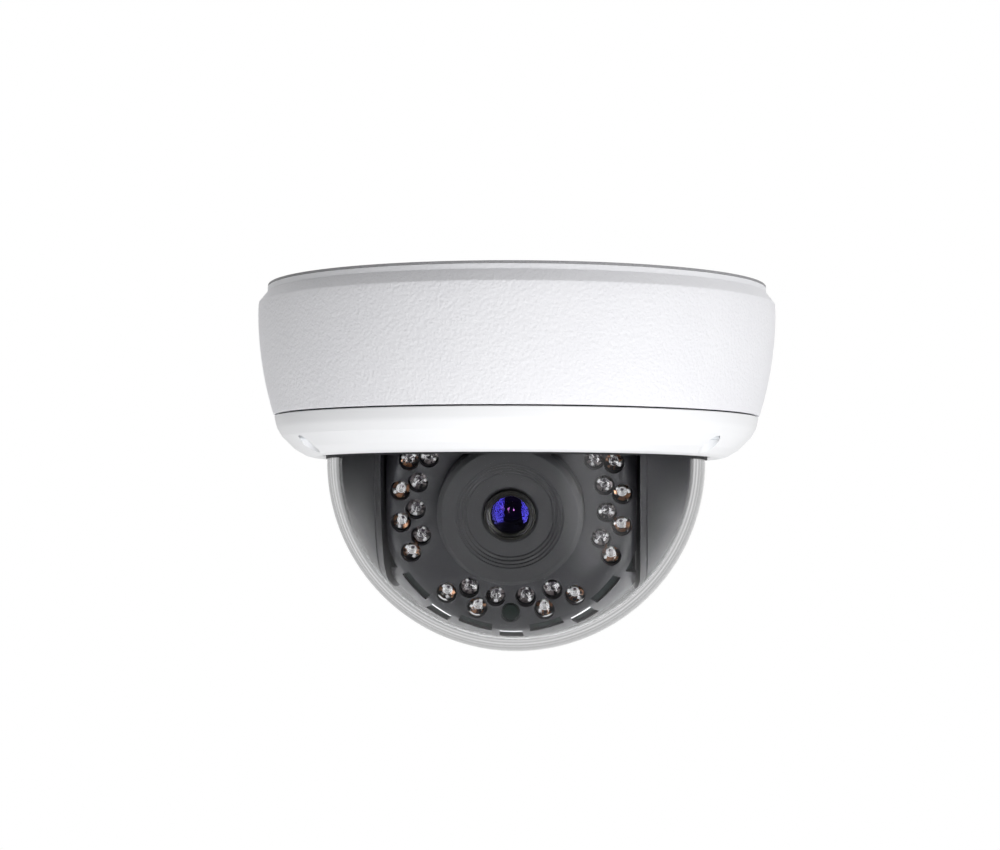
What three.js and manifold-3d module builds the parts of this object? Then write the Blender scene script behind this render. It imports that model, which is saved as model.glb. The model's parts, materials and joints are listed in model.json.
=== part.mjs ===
// Ceiling dome camera: a cast housing, a cover ring with a clear dome, and inside it a camera
// head on a pan, tilt and roll mechanism, with a ring of infrared emitters round the lens.
// Millimetres and degrees. +Z is up, the ceiling is z = 0, and the lens looks towards -Y.

import * as THREE from 'three';
import { mergeVertices } from 'three/addons/utils/BufferGeometryUtils.js';
import Module from 'manifold-3d';

const wasm = await Module();
wasm.setup();

// ---------------------------------------------------------------- driving dimensions

const BODY_RADIUS = 70; // the housing at its widest
const NECK_RADIUS = 67.5; // the housing where it meets the ceiling
const WALL = 3; // cast wall of the housing
const WIDEST_Z = -7; // height of the widest place
const SIDE_CURVE = 93.3; // radius of the side's curve, seen in section
const SEAM_Z = -35.1; // lower rim of the housing
const SEAM_GAP = 0.4; // shadow gap between housing and cover ring
const GASKET_HEIGHT = 0.7; // foam gasket on the ceiling face
const GASKET_INNER_RADIUS = 61;

const DOME_CENTRE_Z = -47.4; // centre of the dome, and the height of the tilt axis
const DOME_RADIUS = 51.2; // outside of the dome
const DOME_WALL = 3.2;
const DOME_INNER_RADIUS = DOME_RADIUS - DOME_WALL;
const DOME_FLANGE_RADIUS = 57.6;
const SHELF_Z = -43.6; // the cover ring's inner shelf, which carries the dome
const LIP_RADIUS = 51.9; // the cover ring's opening

const COVER_SCREW_RADIUS = 60; // distance of the three cover screws from the axis
const COVER_SCREW_CLOCK = -1.6; // how far the screws are turned from the lens direction
const FRONT = 270; // direction of -Y, in degrees from +X

const HEAD_RADIUS = 47.2; // sphere about the tilt axis that the moving head stays inside
const REST_TILT = 16; // how far the lens looks below the horizontal
const LENS_DROP = 4.5; // the lens axis passes this far below the tilt axis
const FACE = 31; // the emitter face, measured forwards from the tilt axis
const FACE_THICKNESS = 1.8;
const BEZEL_HALF_WIDTH = 31.7;
const ARM_INNER = 32.4; // inner face of each yoke arm, measured from the middle
const ARM_THICKNESS = 3;

const EMITTER_INNER_RING = 24.35; // two staggered rings of emitters round the lens
const EMITTER_OUTER_RING = 28.4;
const EMITTER_RADIUS = 2.15;
const EMITTER_RAISE = 0.85; // the rings' middle stands this far above the lens axis
const FACE_TURN = -0.7; // degrees by which the face's pattern is turned about the lens axis
const EMITTER_STEP = 16.8; // degrees from one emitter of a ring to the next
const SHROUD_RADIUS = 18.5;
const LENS_NOSE_RADIUS = 6.5;
const LENS_NOSE_FRONT = 37.3;
const SHROUD_FRONT = 38; // measured forwards from the tilt axis, as the face is

const RING_SIDES = 28; // sides of the large turned pieces
const MIDDLE_SIDES = 20; // sides of the lens, its holder and the bearings
const SHROUD_SIDES = 24; // sides of the shroud and of the rear cover
const SMALL_SIDES = 10; // sides of holes, bosses and screws
const EMITTER_SIDES = 8;
const FIT = 0.3; // clearance between neighbouring pieces of the turned head
const REACH = 120; // longer than the object, for cutting tools

// ---------------------------------------------------------------- solids

const radians = (degrees) => (degrees * Math.PI) / 180;

// A closed three.js geometry as a manifold solid with outward faces.
function solidFrom(geometry) {
  geometry.deleteAttribute('normal');
  geometry.deleteAttribute('uv');
  const merged = mergeVertices(geometry, 1e-4);
  const corners = merged.index.array;
  const kept = [];
  for (let i = 0; i < corners.length; i += 3) {
    const [a, b, c] = [corners[i], corners[i + 1], corners[i + 2]];
    if (a !== b && b !== c && c !== a) kept.push(a, b, c);
  }
  const make = (triangles) =>
    new wasm.Manifold(
      new wasm.Mesh({
        numProp: 3,
        vertProperties: new Float32Array(merged.attributes.position.array),
        triVerts: new Uint32Array(triangles),
      }),
    );
  const solid = make(kept);
  return solid.volume() > 0 ? solid : make(kept.slice().reverse());
}

// A turned solid about Z from its outline of [radius, height] points.
function turned(outline, sides = RING_SIDES) {
  const points = [...outline, outline[0]].map(([r, z]) => new THREE.Vector2(r, z));
  return solidFrom(new THREE.LatheGeometry(points, sides).rotateX(Math.PI / 2));
}

// A round bar along Z between two heights.
function bar(radius, low, high, [x, y] = [0, 0], sides = SMALL_SIDES) {
  const geometry = new THREE.CylinderGeometry(radius, radius, high - low, sides);
  geometry.rotateX(Math.PI / 2);
  geometry.translate(x, y, (low + high) / 2);
  return solidFrom(geometry);
}

// A round bar along X between two places.
function barAlongX(radius, from, to, sides = SMALL_SIDES) {
  const geometry = new THREE.CylinderGeometry(radius, radius, Math.abs(to - from), sides);
  geometry.rotateZ(Math.PI / 2);
  geometry.translate((from + to) / 2, 0, 0);
  return solidFrom(geometry);
}

// A block between two opposite corners.
function block([x0, y0, z0], [x1, y1, z1]) {
  const geometry = new THREE.BoxGeometry(Math.abs(x1 - x0), Math.abs(y1 - y0), Math.abs(z1 - z0));
  geometry.translate((x0 + x1) / 2, (y0 + y1) / 2, (z0 + z1) / 2);
  return solidFrom(geometry);
}

// A flat piece of ring between two radii, two directions in degrees and two heights.
function ringPiece(inner, outer, from, to, low, high, curveSteps = 10) {
  const shape = new THREE.Shape();
  shape.absarc(0, 0, outer, radians(from), radians(to), false);
  shape.absarc(0, 0, inner, radians(to), radians(from), true);
  shape.closePath();
  const settings = { depth: high - low, bevelEnabled: false, curveSegments: curveSteps };
  return solidFrom(new THREE.ExtrudeGeometry(shape, settings).translate(0, 0, low));
}

function ball(radius, sides = MIDDLE_SIDES) {
  return solidFrom(new THREE.SphereGeometry(radius, sides, sides / 2));
}

// A place at a radius and a direction in degrees.
const around = (radius, degrees) => [
  radius * Math.cos(radians(degrees)),
  radius * Math.sin(radians(degrees)),
];

const cutAll = (solid, tools) => tools.reduce((left, tool) => left.subtract(tool), solid);
const joinAll = (first, ...others) => others.reduce((sum, other) => sum.add(other), first);

// The geometry of a finished solid.
function geometryOf(solid) {
  const mesh = solid.getMesh();
  const geometry = new THREE.BufferGeometry();
  const places = new Float32Array(mesh.numVert * 3);
  for (let i = 0; i < mesh.numVert; i += 1) {
    for (let axis = 0; axis < 3; axis += 1) {
      places[i * 3 + axis] = mesh.vertProperties[i * mesh.numProp + axis];
    }
  }
  geometry.setAttribute('position', new THREE.BufferAttribute(places, 3));
  geometry.setIndex(new THREE.BufferAttribute(new Uint32Array(mesh.triVerts), 1));
  geometry.computeVertexNormals();
  return geometry;
}

// ---------------------------------------------------------------- materials

const finish = (color, roughness, metalness = 0, extra = {}) =>
  new THREE.MeshStandardMaterial({ color, roughness, metalness, ...extra });

const MATERIALS = {
  whitePaint: finish(0xe9e9ec, 0.45),
  foam: finish(0x3a3a3c, 0.95),
  rubber: finish(0x1d1e20, 0.8),
  clearDome: finish(0xf4f6f8, 0.05, 0, { transparent: true, opacity: 0.35 }),
  darkPlastic: finish(0x2c2c30, 0.5),
  steel: finish(0xb9bcc0, 0.3, 1),
  blackSteel: finish(0x26272a, 0.4, 1),
  greenBoard: finish(0x1d5a3a, 0.5),
  blackBoard: finish(0x17191b, 0.5),
  chip: finish(0x141416, 0.45),
  capacitor: finish(0x3b4a6b, 0.4),
  connector: finish(0xe6e0cc, 0.5),
  emitter: finish(0xd8dde2, 0.08, 0, { transparent: true, opacity: 0.5 }),
  blackAnodised: finish(0x121214, 0.35, 0.6),
  coatedGlass: finish(0x2a2768, 0.03, 0, { transparent: true, opacity: 0.8 }),
  filterGlass: finish(0x7fb8c8, 0.05, 0, { transparent: true, opacity: 0.6 }),
  sensor: finish(0x1a2440, 0.15),
};

// ---------------------------------------------------------------- the scene graph

const camera = new THREE.Group();

// The head's frame: +Z forwards along the lens, +Y up, and the tilt axis through the origin.
const head = new THREE.Group();
head.position.set(0, 0, DOME_CENTRE_Z);
head.rotation.x = radians(90 + REST_TILT);
camera.add(head);

// The optics' frame: as the head's, with the origin on the lens axis.
const optics = new THREE.Group();
optics.position.y = -LENS_DROP;
head.add(optics);

function add(group, name, solid, material) {
  const mesh = new THREE.Mesh(geometryOf(solid), MATERIALS[material]);
  mesh.name = name;
  group.add(mesh);
}

// Left is towards -X and right is towards +X.
const SIDES = [
  ['left', -1],
  ['right', 1],
];

// A pan-head screw along Z. The head lies on the far side of headFace from the tip.
function screw(place, tip, headFace, headHeight, shankRadius, headRadius) {
  const direction = Math.sign(headFace - tip);
  const headEnd = headFace + direction * headHeight;
  const driveFloor = headEnd - direction * headHeight * 0.6;
  const drive = bar(headRadius * 0.42, ...ordered(driveFloor, headEnd + direction), place, 6);
  return bar(shankRadius, ...ordered(tip, headFace), place, 8)
    .add(bar(headRadius, ...ordered(headFace, headEnd), place))
    .subtract(drive);
}

const ordered = (a, b) => [Math.min(a, b), Math.max(a, b)];

// ---------------------------------------------------------------- places shared by pieces

const COVER_SCREWS = [
  ['left', FRONT - 60 + COVER_SCREW_CLOCK],
  ['right', FRONT + 60 + COVER_SCREW_CLOCK],
  ['rear', FRONT + 180 + COVER_SCREW_CLOCK],
].map(([name, direction]) => [name, around(COVER_SCREW_RADIUS, direction)]);
const COVER_SCREW_SHANK = 1.5;
const COVER_SCREW_HEAD = 2.4;
const COVER_SCREW_TIP = -25;
const COVER_BOSS_RADIUS = 3.8; // in the housing
const COVER_BOLT_BOSS = 3.9; // in the cover ring, round the counterbore
const COVER_COUNTERBORE = 2.8;
const COUNTERBORE_SIDES = 16;
const COVER_COUNTERBORE_FLOOR = -40.6;

const RETAINER_SCREW_RADIUS = 55;
const RETAINER_SCREWS = [
  ['front', FRONT],
  ['left', FRONT - 120],
  ['right', FRONT + 120],
].map(([name, direction]) => [name, around(RETAINER_SCREW_RADIUS, direction)]);
const RETAINER_SCREW_SHANK = 1.25;
const RETAINER_SCREW_HOLE = 1.6;

const FIXING_CIRCLE = 47; // radius of the circle of fixing holes
const FIXING_HOLES = [0, 120, 240].map((turn) => around(FIXING_CIRCLE, FRONT + turn));
const FIXING_HOLE_RADIUS = 2.25;
const OUTLET_PLACE = [-40, 0]; // where the cable passes through the ceiling
const OUTLET_RADIUS = 7;
const GROMMET_BORE = 4;

const PLATE_UNDERSIDE = -WALL;
const PAN_SHOULDER = -8.6; // the turntable's friction washer bears here
const PAN_SPIGOT_END = -13.4;
const PAN_SPIGOT_RADIUS = 6.8;
const PAN_CLIP_TOP = -11.7;
const PAN_CLIP_HEIGHT = 1;
const LEAD_BORE = 4.2; // hollow of the pan spigot
const TURNTABLE_TOP = -9.15;
const TURNTABLE_HEIGHT = 2.5;
const TURNTABLE_UNDERSIDE = TURNTABLE_TOP - TURNTABLE_HEIGHT;
const TURNTABLE_RADIUS = 27;

const BOARD_TOP = -5;
const BOARD_THICKNESS = 1.6;
const BOARD_UNDERSIDE = BOARD_TOP - BOARD_THICKNESS;
const BOARD_SCREWS = [
  ['left', [-31, 37.5]],
  ['right', [31, 37.5]],
  ['centre', [0, 20]],
];
const BOARD_SCREW_SHANK = 1.25;
const BOARD_POST_RADIUS = 2.6;

// ---------------------------------------------------------------- housing

// Radius of the housing's side at a height.
const sideRadius = (z) =>
  BODY_RADIUS - SIDE_CURVE + Math.sqrt(SIDE_CURVE ** 2 - (z - WIDEST_Z) ** 2);

function heights(from, to, steps) {
  return Array.from({ length: steps + 1 }, (_, i) => from + ((to - from) * i) / steps);
}

const SEAL_GROOVE = { inner: 62.8, outer: 64.4, depth: 1 };

function housingOutline() {
  const outside = heights(WIDEST_Z, SEAM_Z, 4).map((z) => [sideRadius(z), z]);
  const inside = heights(-31, WIDEST_Z, 2).map((z) => [sideRadius(z) - WALL - 0.4, z]);
  const rimRadius = 61.7;
  return [
    [0, 0],
    [GASKET_INNER_RADIUS, 0],
    [GASKET_INNER_RADIUS, -GASKET_HEIGHT],
    [NECK_RADIUS, -GASKET_HEIGHT],
    [NECK_RADIUS, -2],
    [BODY_RADIUS - 0.1, -5.1],
    ...outside,
    [rimRadius, SEAM_Z],
    [rimRadius, -32.5],
    ...inside,
    [64, PLATE_UNDERSIDE],
    [0, PLATE_UNDERSIDE],
  ];
}

// The hollow spigot that the turntable turns on, with its clip groove and lead window.
function panSpigot() {
  const clipLow = PAN_CLIP_TOP - PAN_CLIP_HEIGHT;
  const groove = PAN_SPIGOT_RADIUS - 0.7;
  const outline = [
    [LEAD_BORE, PLATE_UNDERSIDE + 0.5],
    [9.6, PLATE_UNDERSIDE + 0.5],
    [9.6, PAN_SHOULDER],
    [PAN_SPIGOT_RADIUS, PAN_SHOULDER],
    [PAN_SPIGOT_RADIUS, PAN_CLIP_TOP + 0.02],
    [groove, PAN_CLIP_TOP + 0.02],
    [groove, clipLow - 0.02],
    [PAN_SPIGOT_RADIUS, clipLow - 0.02],
    [PAN_SPIGOT_RADIUS, PAN_SPIGOT_END],
    [LEAD_BORE, PAN_SPIGOT_END],
  ];
  const window = block([-2, 2, PAN_SHOULDER + 0.6], [2, 12, PLATE_UNDERSIDE]);
  return turned(outline, MIDDLE_SIDES).subtract(window);
}

function baseHousing() {
  const coverBosses = COVER_SCREWS.map(([, place]) =>
    bar(COVER_BOSS_RADIUS, SEAM_Z, PLATE_UNDERSIDE + 0.5, place),
  );
  const boardPosts = BOARD_SCREWS.map(([, place]) =>
    bar(BOARD_POST_RADIUS, BOARD_TOP + 0.05, PLATE_UNDERSIDE + 0.5, place),
  );
  const tappedHoles = COVER_SCREWS.map(([, place]) =>
    bar(COVER_SCREW_SHANK + FIT, SEAM_Z - 1, SEAM_Z + 12, place),
  );
  const boardHoles = BOARD_SCREWS.map(([, place]) =>
    bar(BOARD_SCREW_SHANK + FIT, BOARD_TOP - 1, -1.2, place),
  );
  const fixingHoles = FIXING_HOLES.map((place) => bar(FIXING_HOLE_RADIUS, -WALL - 1, 1, place));
  const outlet = bar(OUTLET_RADIUS, -WALL - 1, 1, OUTLET_PLACE);
  const sealGroove = turned([
    [SEAL_GROOVE.inner, SEAM_Z - 1],
    [SEAL_GROOVE.outer, SEAM_Z - 1],
    [SEAL_GROOVE.outer, SEAM_Z + SEAL_GROOVE.depth],
    [SEAL_GROOVE.inner, SEAM_Z + SEAL_GROOVE.depth],
  ]);
  const cast = joinAll(turned(housingOutline()), panSpigot(), ...coverBosses, ...boardPosts);
  return cutAll(cast, [...tappedHoles, ...boardHoles, ...fixingHoles, outlet, sealGroove]);
}

function addHousing() {
  add(camera, 'base_housing', baseHousing(), 'whitePaint');
  const gasketOutline = [
    [GASKET_INNER_RADIUS + 0.1, 0],
    [NECK_RADIUS, 0],
    [NECK_RADIUS, -GASKET_HEIGHT + 0.05],
    [GASKET_INNER_RADIUS + 0.1, -GASKET_HEIGHT + 0.05],
  ];
  add(camera, 'mounting_gasket', turned(gasketOutline), 'foam');
  const grommetOutline = [
    [GROMMET_BORE, -0.2],
    [OUTLET_RADIUS - 0.1, -0.2],
    [OUTLET_RADIUS - 0.1, PLATE_UNDERSIDE - 0.05],
    [OUTLET_RADIUS + 2, PLATE_UNDERSIDE - 0.05],
    [OUTLET_RADIUS + 2, PLATE_UNDERSIDE - 2],
    [GROMMET_BORE, PLATE_UNDERSIDE - 2],
  ];
  const grommet = turned(grommetOutline, SMALL_SIDES).translate([...OUTLET_PLACE, 0]);
  add(camera, 'cable_grommet', grommet, 'rubber');
  const sealOutline = [
    [SEAL_GROOVE.inner + 0.15, SEAM_Z - SEAM_GAP + 0.05],
    [SEAL_GROOVE.outer - 0.15, SEAM_Z - SEAM_GAP + 0.05],
    [SEAL_GROOVE.outer - 0.15, SEAM_Z + SEAL_GROOVE.depth - 0.1],
    [SEAL_GROOVE.inner + 0.15, SEAM_Z + SEAL_GROOVE.depth - 0.1],
  ];
  add(camera, 'cover_seal', turned(sealOutline), 'rubber');
}

// ---------------------------------------------------------------- main board

const BOARD_PARTS = [
  ['power_connector', [-20.5, 41.5], [11, 7, 8], 'connector'],
  ['power_inductor', [-8, 46], [8, 8, 4.5], 'chip'],
  ['video_connector', [11.5, 43], [8, 6, 6], 'connector'],
  ['processor_chip', [0, 32], [12, 12, 1.4], 'chip'],
];
const BUTTON = { place: [21.5, 41], side: 6, height: 3.5, plunger: 1.7, stand: 0.9 };

function addMainBoard() {
  const face = BOARD_UNDERSIDE - 0.05;
  const holes = BOARD_SCREWS.map(([, place]) =>
    bar(BOARD_SCREW_SHANK + 0.2, BOARD_UNDERSIDE - 1, BOARD_TOP + 1, place),
  );
  const board = ringPiece(14, 54, 45, 135, BOARD_UNDERSIDE, BOARD_TOP);
  add(camera, 'main_board', cutAll(board, holes), 'greenBoard');
  for (const [name, place] of BOARD_SCREWS) {
    const solid = screw(place, -1.8, face, 1.7, BOARD_SCREW_SHANK, 2.5);
    add(camera, `board_screw_${name}`, solid, 'steel');
  }
  for (const [name, [x, y], [width, depth, height], material] of BOARD_PARTS) {
    const low = [x - width / 2, y - depth / 2, face - height];
    const high = [x + width / 2, y + depth / 2, face];
    let solid = block(low, high);
    if (material === 'connector') {
      const inset = 1;
      const mouthLow = [low[0] + inset, low[1] + inset, low[2] - 1];
      solid = solid.subtract(block(mouthLow, [high[0] - inset, high[1] - inset, low[2] + 4]));
    }
    add(camera, name, solid, material);
  }
  add(camera, 'filter_capacitor', bar(3.5, face - 11, face, [1.5, 45.5]), 'capacitor');

  const [x, y] = BUTTON.place;
  const half = BUTTON.side / 2;
  const low = face - BUTTON.height;
  const well = bar(BUTTON.plunger + FIT, low - 1, low + 2, BUTTON.place);
  const switchBody = block([x - half, y - half, low], [x + half, y + half, face]).subtract(well);
  add(camera, 'button_housing', switchBody, 'chip');
  const plunger = bar(BUTTON.plunger, low - BUTTON.stand, low + 1.6, BUTTON.place);
  add(camera, 'reset_button', plunger, 'connector');
}

// ---------------------------------------------------------------- cover ring and dome

const COVER_TOP = SEAM_Z - SEAM_GAP;
const DOME_SEAL_TOP = SHELF_Z + 0.85;
const SEAL_LIP_INNER = DOME_RADIUS + 0.2; // the seal's lip fills the gap round the dome
const SEAL_LIP_LOW = -46.8;
const FLANGE_LOW = DOME_SEAL_TOP + 0.05;
const FLANGE_TOP = FLANGE_LOW + 1.8;
const RETAINER_LOW = FLANGE_TOP + 0.05;
const RETAINER_TOP = RETAINER_LOW + 2;

const COVER_OUTLINE = [
  [62.2, COVER_TOP],
  [65.5, COVER_TOP],
  [64.7, -38.7],
  [63.4, -40.9],
  [60, -44.15],
  [57.4, -45.8],
  [55.2, -46.5],
  [52.3, -45.7],
  [LIP_RADIUS, -45.2],
  [LIP_RADIUS, SHELF_Z],
  [58.2, SHELF_Z],
  [58.6, -42.6],
  [61.6, -39.6],
];

function coverRing() {
  const bosses = COVER_SCREWS.map(([, place]) => bar(COVER_BOLT_BOSS, -43.9, COVER_TOP, place));
  const envelope = turned([[50, COVER_TOP], ...COVER_OUTLINE.slice(1, 7), [50, -46.5]]);
  const counterbores = COVER_SCREWS.map(([, place]) =>
    bar(COVER_COUNTERBORE, -50, COVER_COUNTERBORE_FLOOR, place, COUNTERBORE_SIDES),
  );
  const screwHoles = COVER_SCREWS.map(([, place]) =>
    bar(COVER_SCREW_SHANK + FIT, -50, COVER_TOP + 1, place),
  );
  const retainerHoles = RETAINER_SCREWS.map(([, place]) =>
    bar(RETAINER_SCREW_HOLE, SHELF_Z - 1.8, SHELF_Z + 1, place),
  );
  const ring = joinAll(turned(COVER_OUTLINE), ...bosses.map((boss) => boss.intersect(envelope)));
  return cutAll(ring, [...counterbores, ...screwHoles, ...retainerHoles]);
}

const DOME_STEPS = 6;

// Points of a quarter circle from the dome's rim, level with its centre, to its lowest point.
function quarter(radius, steps) {
  return heights(0, 90, steps).map((angle) => [
    radius * Math.cos(radians(angle)),
    DOME_CENTRE_Z - radius * Math.sin(radians(angle)),
  ]);
}

function addCover() {
  const bossClearance = COVER_SCREWS.map(([, place]) => bar(COVER_BOLT_BOSS + 0.4, -60, -30, place));
  const screwClearance = RETAINER_SCREWS.map(([, place]) => bar(RETAINER_SCREW_HOLE, -60, -30, place));
  const clearances = [...bossClearance, ...screwClearance];

  add(camera, 'cover_ring', coverRing(), 'whitePaint');
  const domeOutline = [
    ...quarter(DOME_RADIUS, DOME_STEPS),
    ...quarter(DOME_INNER_RADIUS, DOME_STEPS).reverse(),
    [DOME_INNER_RADIUS, FLANGE_TOP],
    [DOME_FLANGE_RADIUS, FLANGE_TOP],
    [DOME_FLANGE_RADIUS, FLANGE_LOW],
    [DOME_RADIUS, FLANGE_LOW],
  ];
  add(camera, 'dome_bubble', cutAll(turned(domeOutline), clearances), 'clearDome');
  const sealOutline = [
    [SEAL_LIP_INNER, SEAL_LIP_LOW],
    [LIP_RADIUS - 0.15, SEAL_LIP_LOW],
    [LIP_RADIUS - 0.15, SHELF_Z + 0.05],
    [DOME_FLANGE_RADIUS, SHELF_Z + 0.05],
    [DOME_FLANGE_RADIUS, DOME_SEAL_TOP],
    [SEAL_LIP_INNER, DOME_SEAL_TOP],
  ];
  add(camera, 'dome_seal', cutAll(turned(sealOutline), clearances), 'rubber');
  const retainerOutline = [
    [49.2, RETAINER_LOW],
    [DOME_FLANGE_RADIUS, RETAINER_LOW],
    [DOME_FLANGE_RADIUS, RETAINER_TOP],
    [49.2, RETAINER_TOP],
  ];
  add(camera, 'dome_retainer', cutAll(turned(retainerOutline), clearances), 'steel');
  for (const [name, place] of RETAINER_SCREWS) {
    const tip = SHELF_Z - 1.5;
    const solid = screw(place, tip, RETAINER_TOP + 0.05, 1.6, RETAINER_SCREW_SHANK, 2.4);
    add(camera, `retainer_screw_${name}`, solid, 'steel');
  }
  for (const [name, place] of COVER_SCREWS) {
    const face = COVER_COUNTERBORE_FLOOR - 0.05;
    const solid = screw(place, COVER_SCREW_TIP, face, 1.8, COVER_SCREW_SHANK, COVER_SCREW_HEAD);
    add(camera, `cover_screw_${name}`, solid, 'steel');
  }
}

// ---------------------------------------------------------------- pan stage

const WING_REACH = 36;
const WING_HALF_WIDTH = 8;
const ARM_FLANGE_INNER = 25;
const ARM_FLANGE_HEIGHT = 2.4;
const ARM_SCREW_PLACE = 28.5;
const ARM_OUTER = ARM_INNER + ARM_THICKNESS;
const CAP_TOP = -41; // the spherical cap of each arm reaches up to here
const CAP_WALL = 2;
const WEB_OUTER = ARM_INNER + 1.8; // the flat cheek beside the head
const WEB_RADIUS = 32.8;
const PIVOT_HOLE = 4.3; // in the arm, for the pivot's shoulder

function addPanBearing() {
  const washerOutline = [
    [7.1, PAN_SHOULDER - 0.45],
    [13, PAN_SHOULDER - 0.45],
    [13, PAN_SHOULDER - 0.05],
    [7.1, PAN_SHOULDER - 0.05],
  ];
  add(camera, 'pan_friction_washer', turned(washerOutline, MIDDLE_SIDES), 'steel');
  const clipLow = PAN_CLIP_TOP - PAN_CLIP_HEIGHT;
  const clipOutline = [
    [PAN_SPIGOT_RADIUS - 0.4, clipLow],
    [10.5, clipLow],
    [10.5, PAN_CLIP_TOP - 0.05],
    [PAN_SPIGOT_RADIUS - 0.4, PAN_CLIP_TOP - 0.05],
  ];
  const clipMouth = block([-3, 0, clipLow - 1], [3, 12, PAN_CLIP_TOP + 1]);
  add(camera, 'pan_retaining_clip', turned(clipOutline, MIDDLE_SIDES).subtract(clipMouth), 'blackSteel');
}

function turntable() {
  const disc = bar(TURNTABLE_RADIUS, TURNTABLE_UNDERSIDE, TURNTABLE_TOP, [0, 0], SHROUD_SIDES);
  const wings = block(
    [-WING_REACH, -WING_HALF_WIDTH, TURNTABLE_UNDERSIDE],
    [WING_REACH, WING_HALF_WIDTH, TURNTABLE_TOP],
  );
  const bore = bar(PAN_SPIGOT_RADIUS + FIT, -20, 0, [0, 0], MIDDLE_SIDES);
  const screwHoles = SIDES.map(([, side]) => bar(1.6, -20, 0, [side * ARM_SCREW_PLACE, 0]));
  return cutAll(disc.add(wings), [bore, ...screwHoles]);
}

// One arm of the yoke: top flange, riser, flat cheek and the spherical cap that fills the dome.
function yokeArm(side) {
  const flangeTop = TURNTABLE_UNDERSIDE - 0.1;
  const flangeLow = flangeTop - ARM_FLANGE_HEIGHT;
  const flange = block(
    [side * ARM_FLANGE_INNER, -WING_HALF_WIDTH, flangeLow],
    [side * ARM_OUTER, WING_HALF_WIDTH, flangeTop],
  );
  const riser = block(
    [side * ARM_INNER, -WING_HALF_WIDTH, DOME_CENTRE_Z - 6],
    [side * ARM_OUTER, WING_HALF_WIDTH, flangeTop],
  );
  const below = block([-REACH, -REACH, -REACH], [REACH, REACH, CAP_TOP]);
  const outside = block([side * ARM_INNER, -REACH, -REACH], [side * REACH, REACH, REACH]);
  const shell = ball(HEAD_RADIUS).subtract(ball(HEAD_RADIUS - CAP_WALL));
  const web = barAlongX(WEB_RADIUS, side * ARM_INNER, side * WEB_OUTER, SHROUD_SIDES);
  const cap = shell
    .intersect(outside)
    .add(web)
    .translate([0, 0, DOME_CENTRE_Z])
    .intersect(below);
  const pivotHole = barAlongX(PIVOT_HOLE, side * 30, side * 40).translate([0, 0, DOME_CENTRE_Z]);
  const screwHole = bar(RETAINER_SCREW_HOLE, -20, 0, [side * ARM_SCREW_PLACE, 0]);
  return cutAll(joinAll(flange, riser, cap), [pivotHole, screwHole]);
}

function addPanStage() {
  add(camera, 'pan_turntable', turntable(), 'darkPlastic');
  for (const [name, side] of SIDES) {
    add(camera, `yoke_arm_${name}`, yokeArm(side), 'darkPlastic');
    const headFace = TURNTABLE_UNDERSIDE - 0.1 - ARM_FLANGE_HEIGHT - 0.05;
    const solid = screw([side * ARM_SCREW_PLACE, 0], TURNTABLE_TOP - 0.2, headFace, 1.2, 1.25, 2.4);
    add(camera, `arm_screw_${name}`, solid, 'steel');
  }
}

// ---------------------------------------------------------------- tilting head

const FACE_BACK = FACE - FACE_THICKNESS;
const BEZEL_WALL = 1.7;
const BEZEL_INNER_HALF = BEZEL_HALF_WIDTH - 1.6;
const EAR_RADIUS = 8;
const PIVOT_SCREW = 2.4; // radius of the tilt pivot's shank in the ear
const BEZEL_OPENING = SHROUD_RADIUS + 0.5;
const EMITTER_HOLE = EMITTER_RADIUS + 0.35;
const LIGHT_SENSOR_RADIUS = 2.2;
const LIGHT_SENSOR_PLACE = around(27.25, FRONT + FACE_TURN);
const POST_RING = 27;
const POST_RADIUS = 2.5;
const POST_END = 12.3;
const HEAD_SCREW_SHANK = 1.25;
const POSTS = [
  ['upper_left', 180 - 50],
  ['upper_right', 50],
  ['lower_left', 180 + 41],
  ['lower_right', -41],
].map(([name, direction]) => [name, around(POST_RING, direction)]);

// Directions of the emitters, in degrees from +X about the middle of their rings. The two side
// banks mirror each other, and the bottom bank mirrors itself.
const SIDE_BANK = [
  ...[0, 1, 2, 3].map((step) => [EMITTER_OUTER_RING, 24 - step * EMITTER_STEP]),
  ...[0, 1, 2, 3].map((step) => [EMITTER_INNER_RING, 30.6 - step * EMITTER_STEP]),
];
const BOTTOM_HALF = [
  [EMITTER_INNER_RING, 9.1],
  [EMITTER_INNER_RING, 9.1 + EMITTER_STEP],
  [EMITTER_OUTER_RING, 17.6],
  [EMITTER_OUTER_RING, 35.2],
];
const onRing = (radius, angle) => {
  const [x, y] = around(radius, angle + FACE_TURN);
  return [x, y + EMITTER_RAISE];
};
const EMITTER_BANKS = {
  left: SIDE_BANK.map(([radius, angle]) => onRing(radius, 180 - angle)),
  right: SIDE_BANK.map(([radius, angle]) => onRing(radius, angle)),
  bottom: BOTTOM_HALF.flatMap(([radius, angle]) => [
    onRing(radius, FRONT - angle),
    onRing(radius, FRONT + angle),
  ]),
};

// The bezel's outer radius about the lens axis: it stays inside the head's sphere, which is
// centred on the tilt axis, where it comes closest to the dome, at the bottom.
const bezelRadius = (forward) => Math.sqrt(HEAD_RADIUS ** 2 - forward ** 2) - LENS_DROP;

function bezelBody(faceHeight, wall, halfWidth) {
  const curve = heights(faceHeight, -8, 4).map((p) => [bezelRadius(p) - wall, p]);
  const slab = block([-halfWidth, -REACH, -REACH], [halfWidth, REACH, REACH]);
  return turned([[0, faceHeight], ...curve, [0, -8]]).intersect(slab);
}

// The rear edge of the bezel's skirt slopes: it is short at the top and deep at the bottom.
function behindSkirt() {
  const space = block([-REACH, -REACH, -REACH], [REACH, REACH, 0]);
  return space.rotate([10, 0, 0]).translate([0, LENS_DROP, 13.5]);
}

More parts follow.
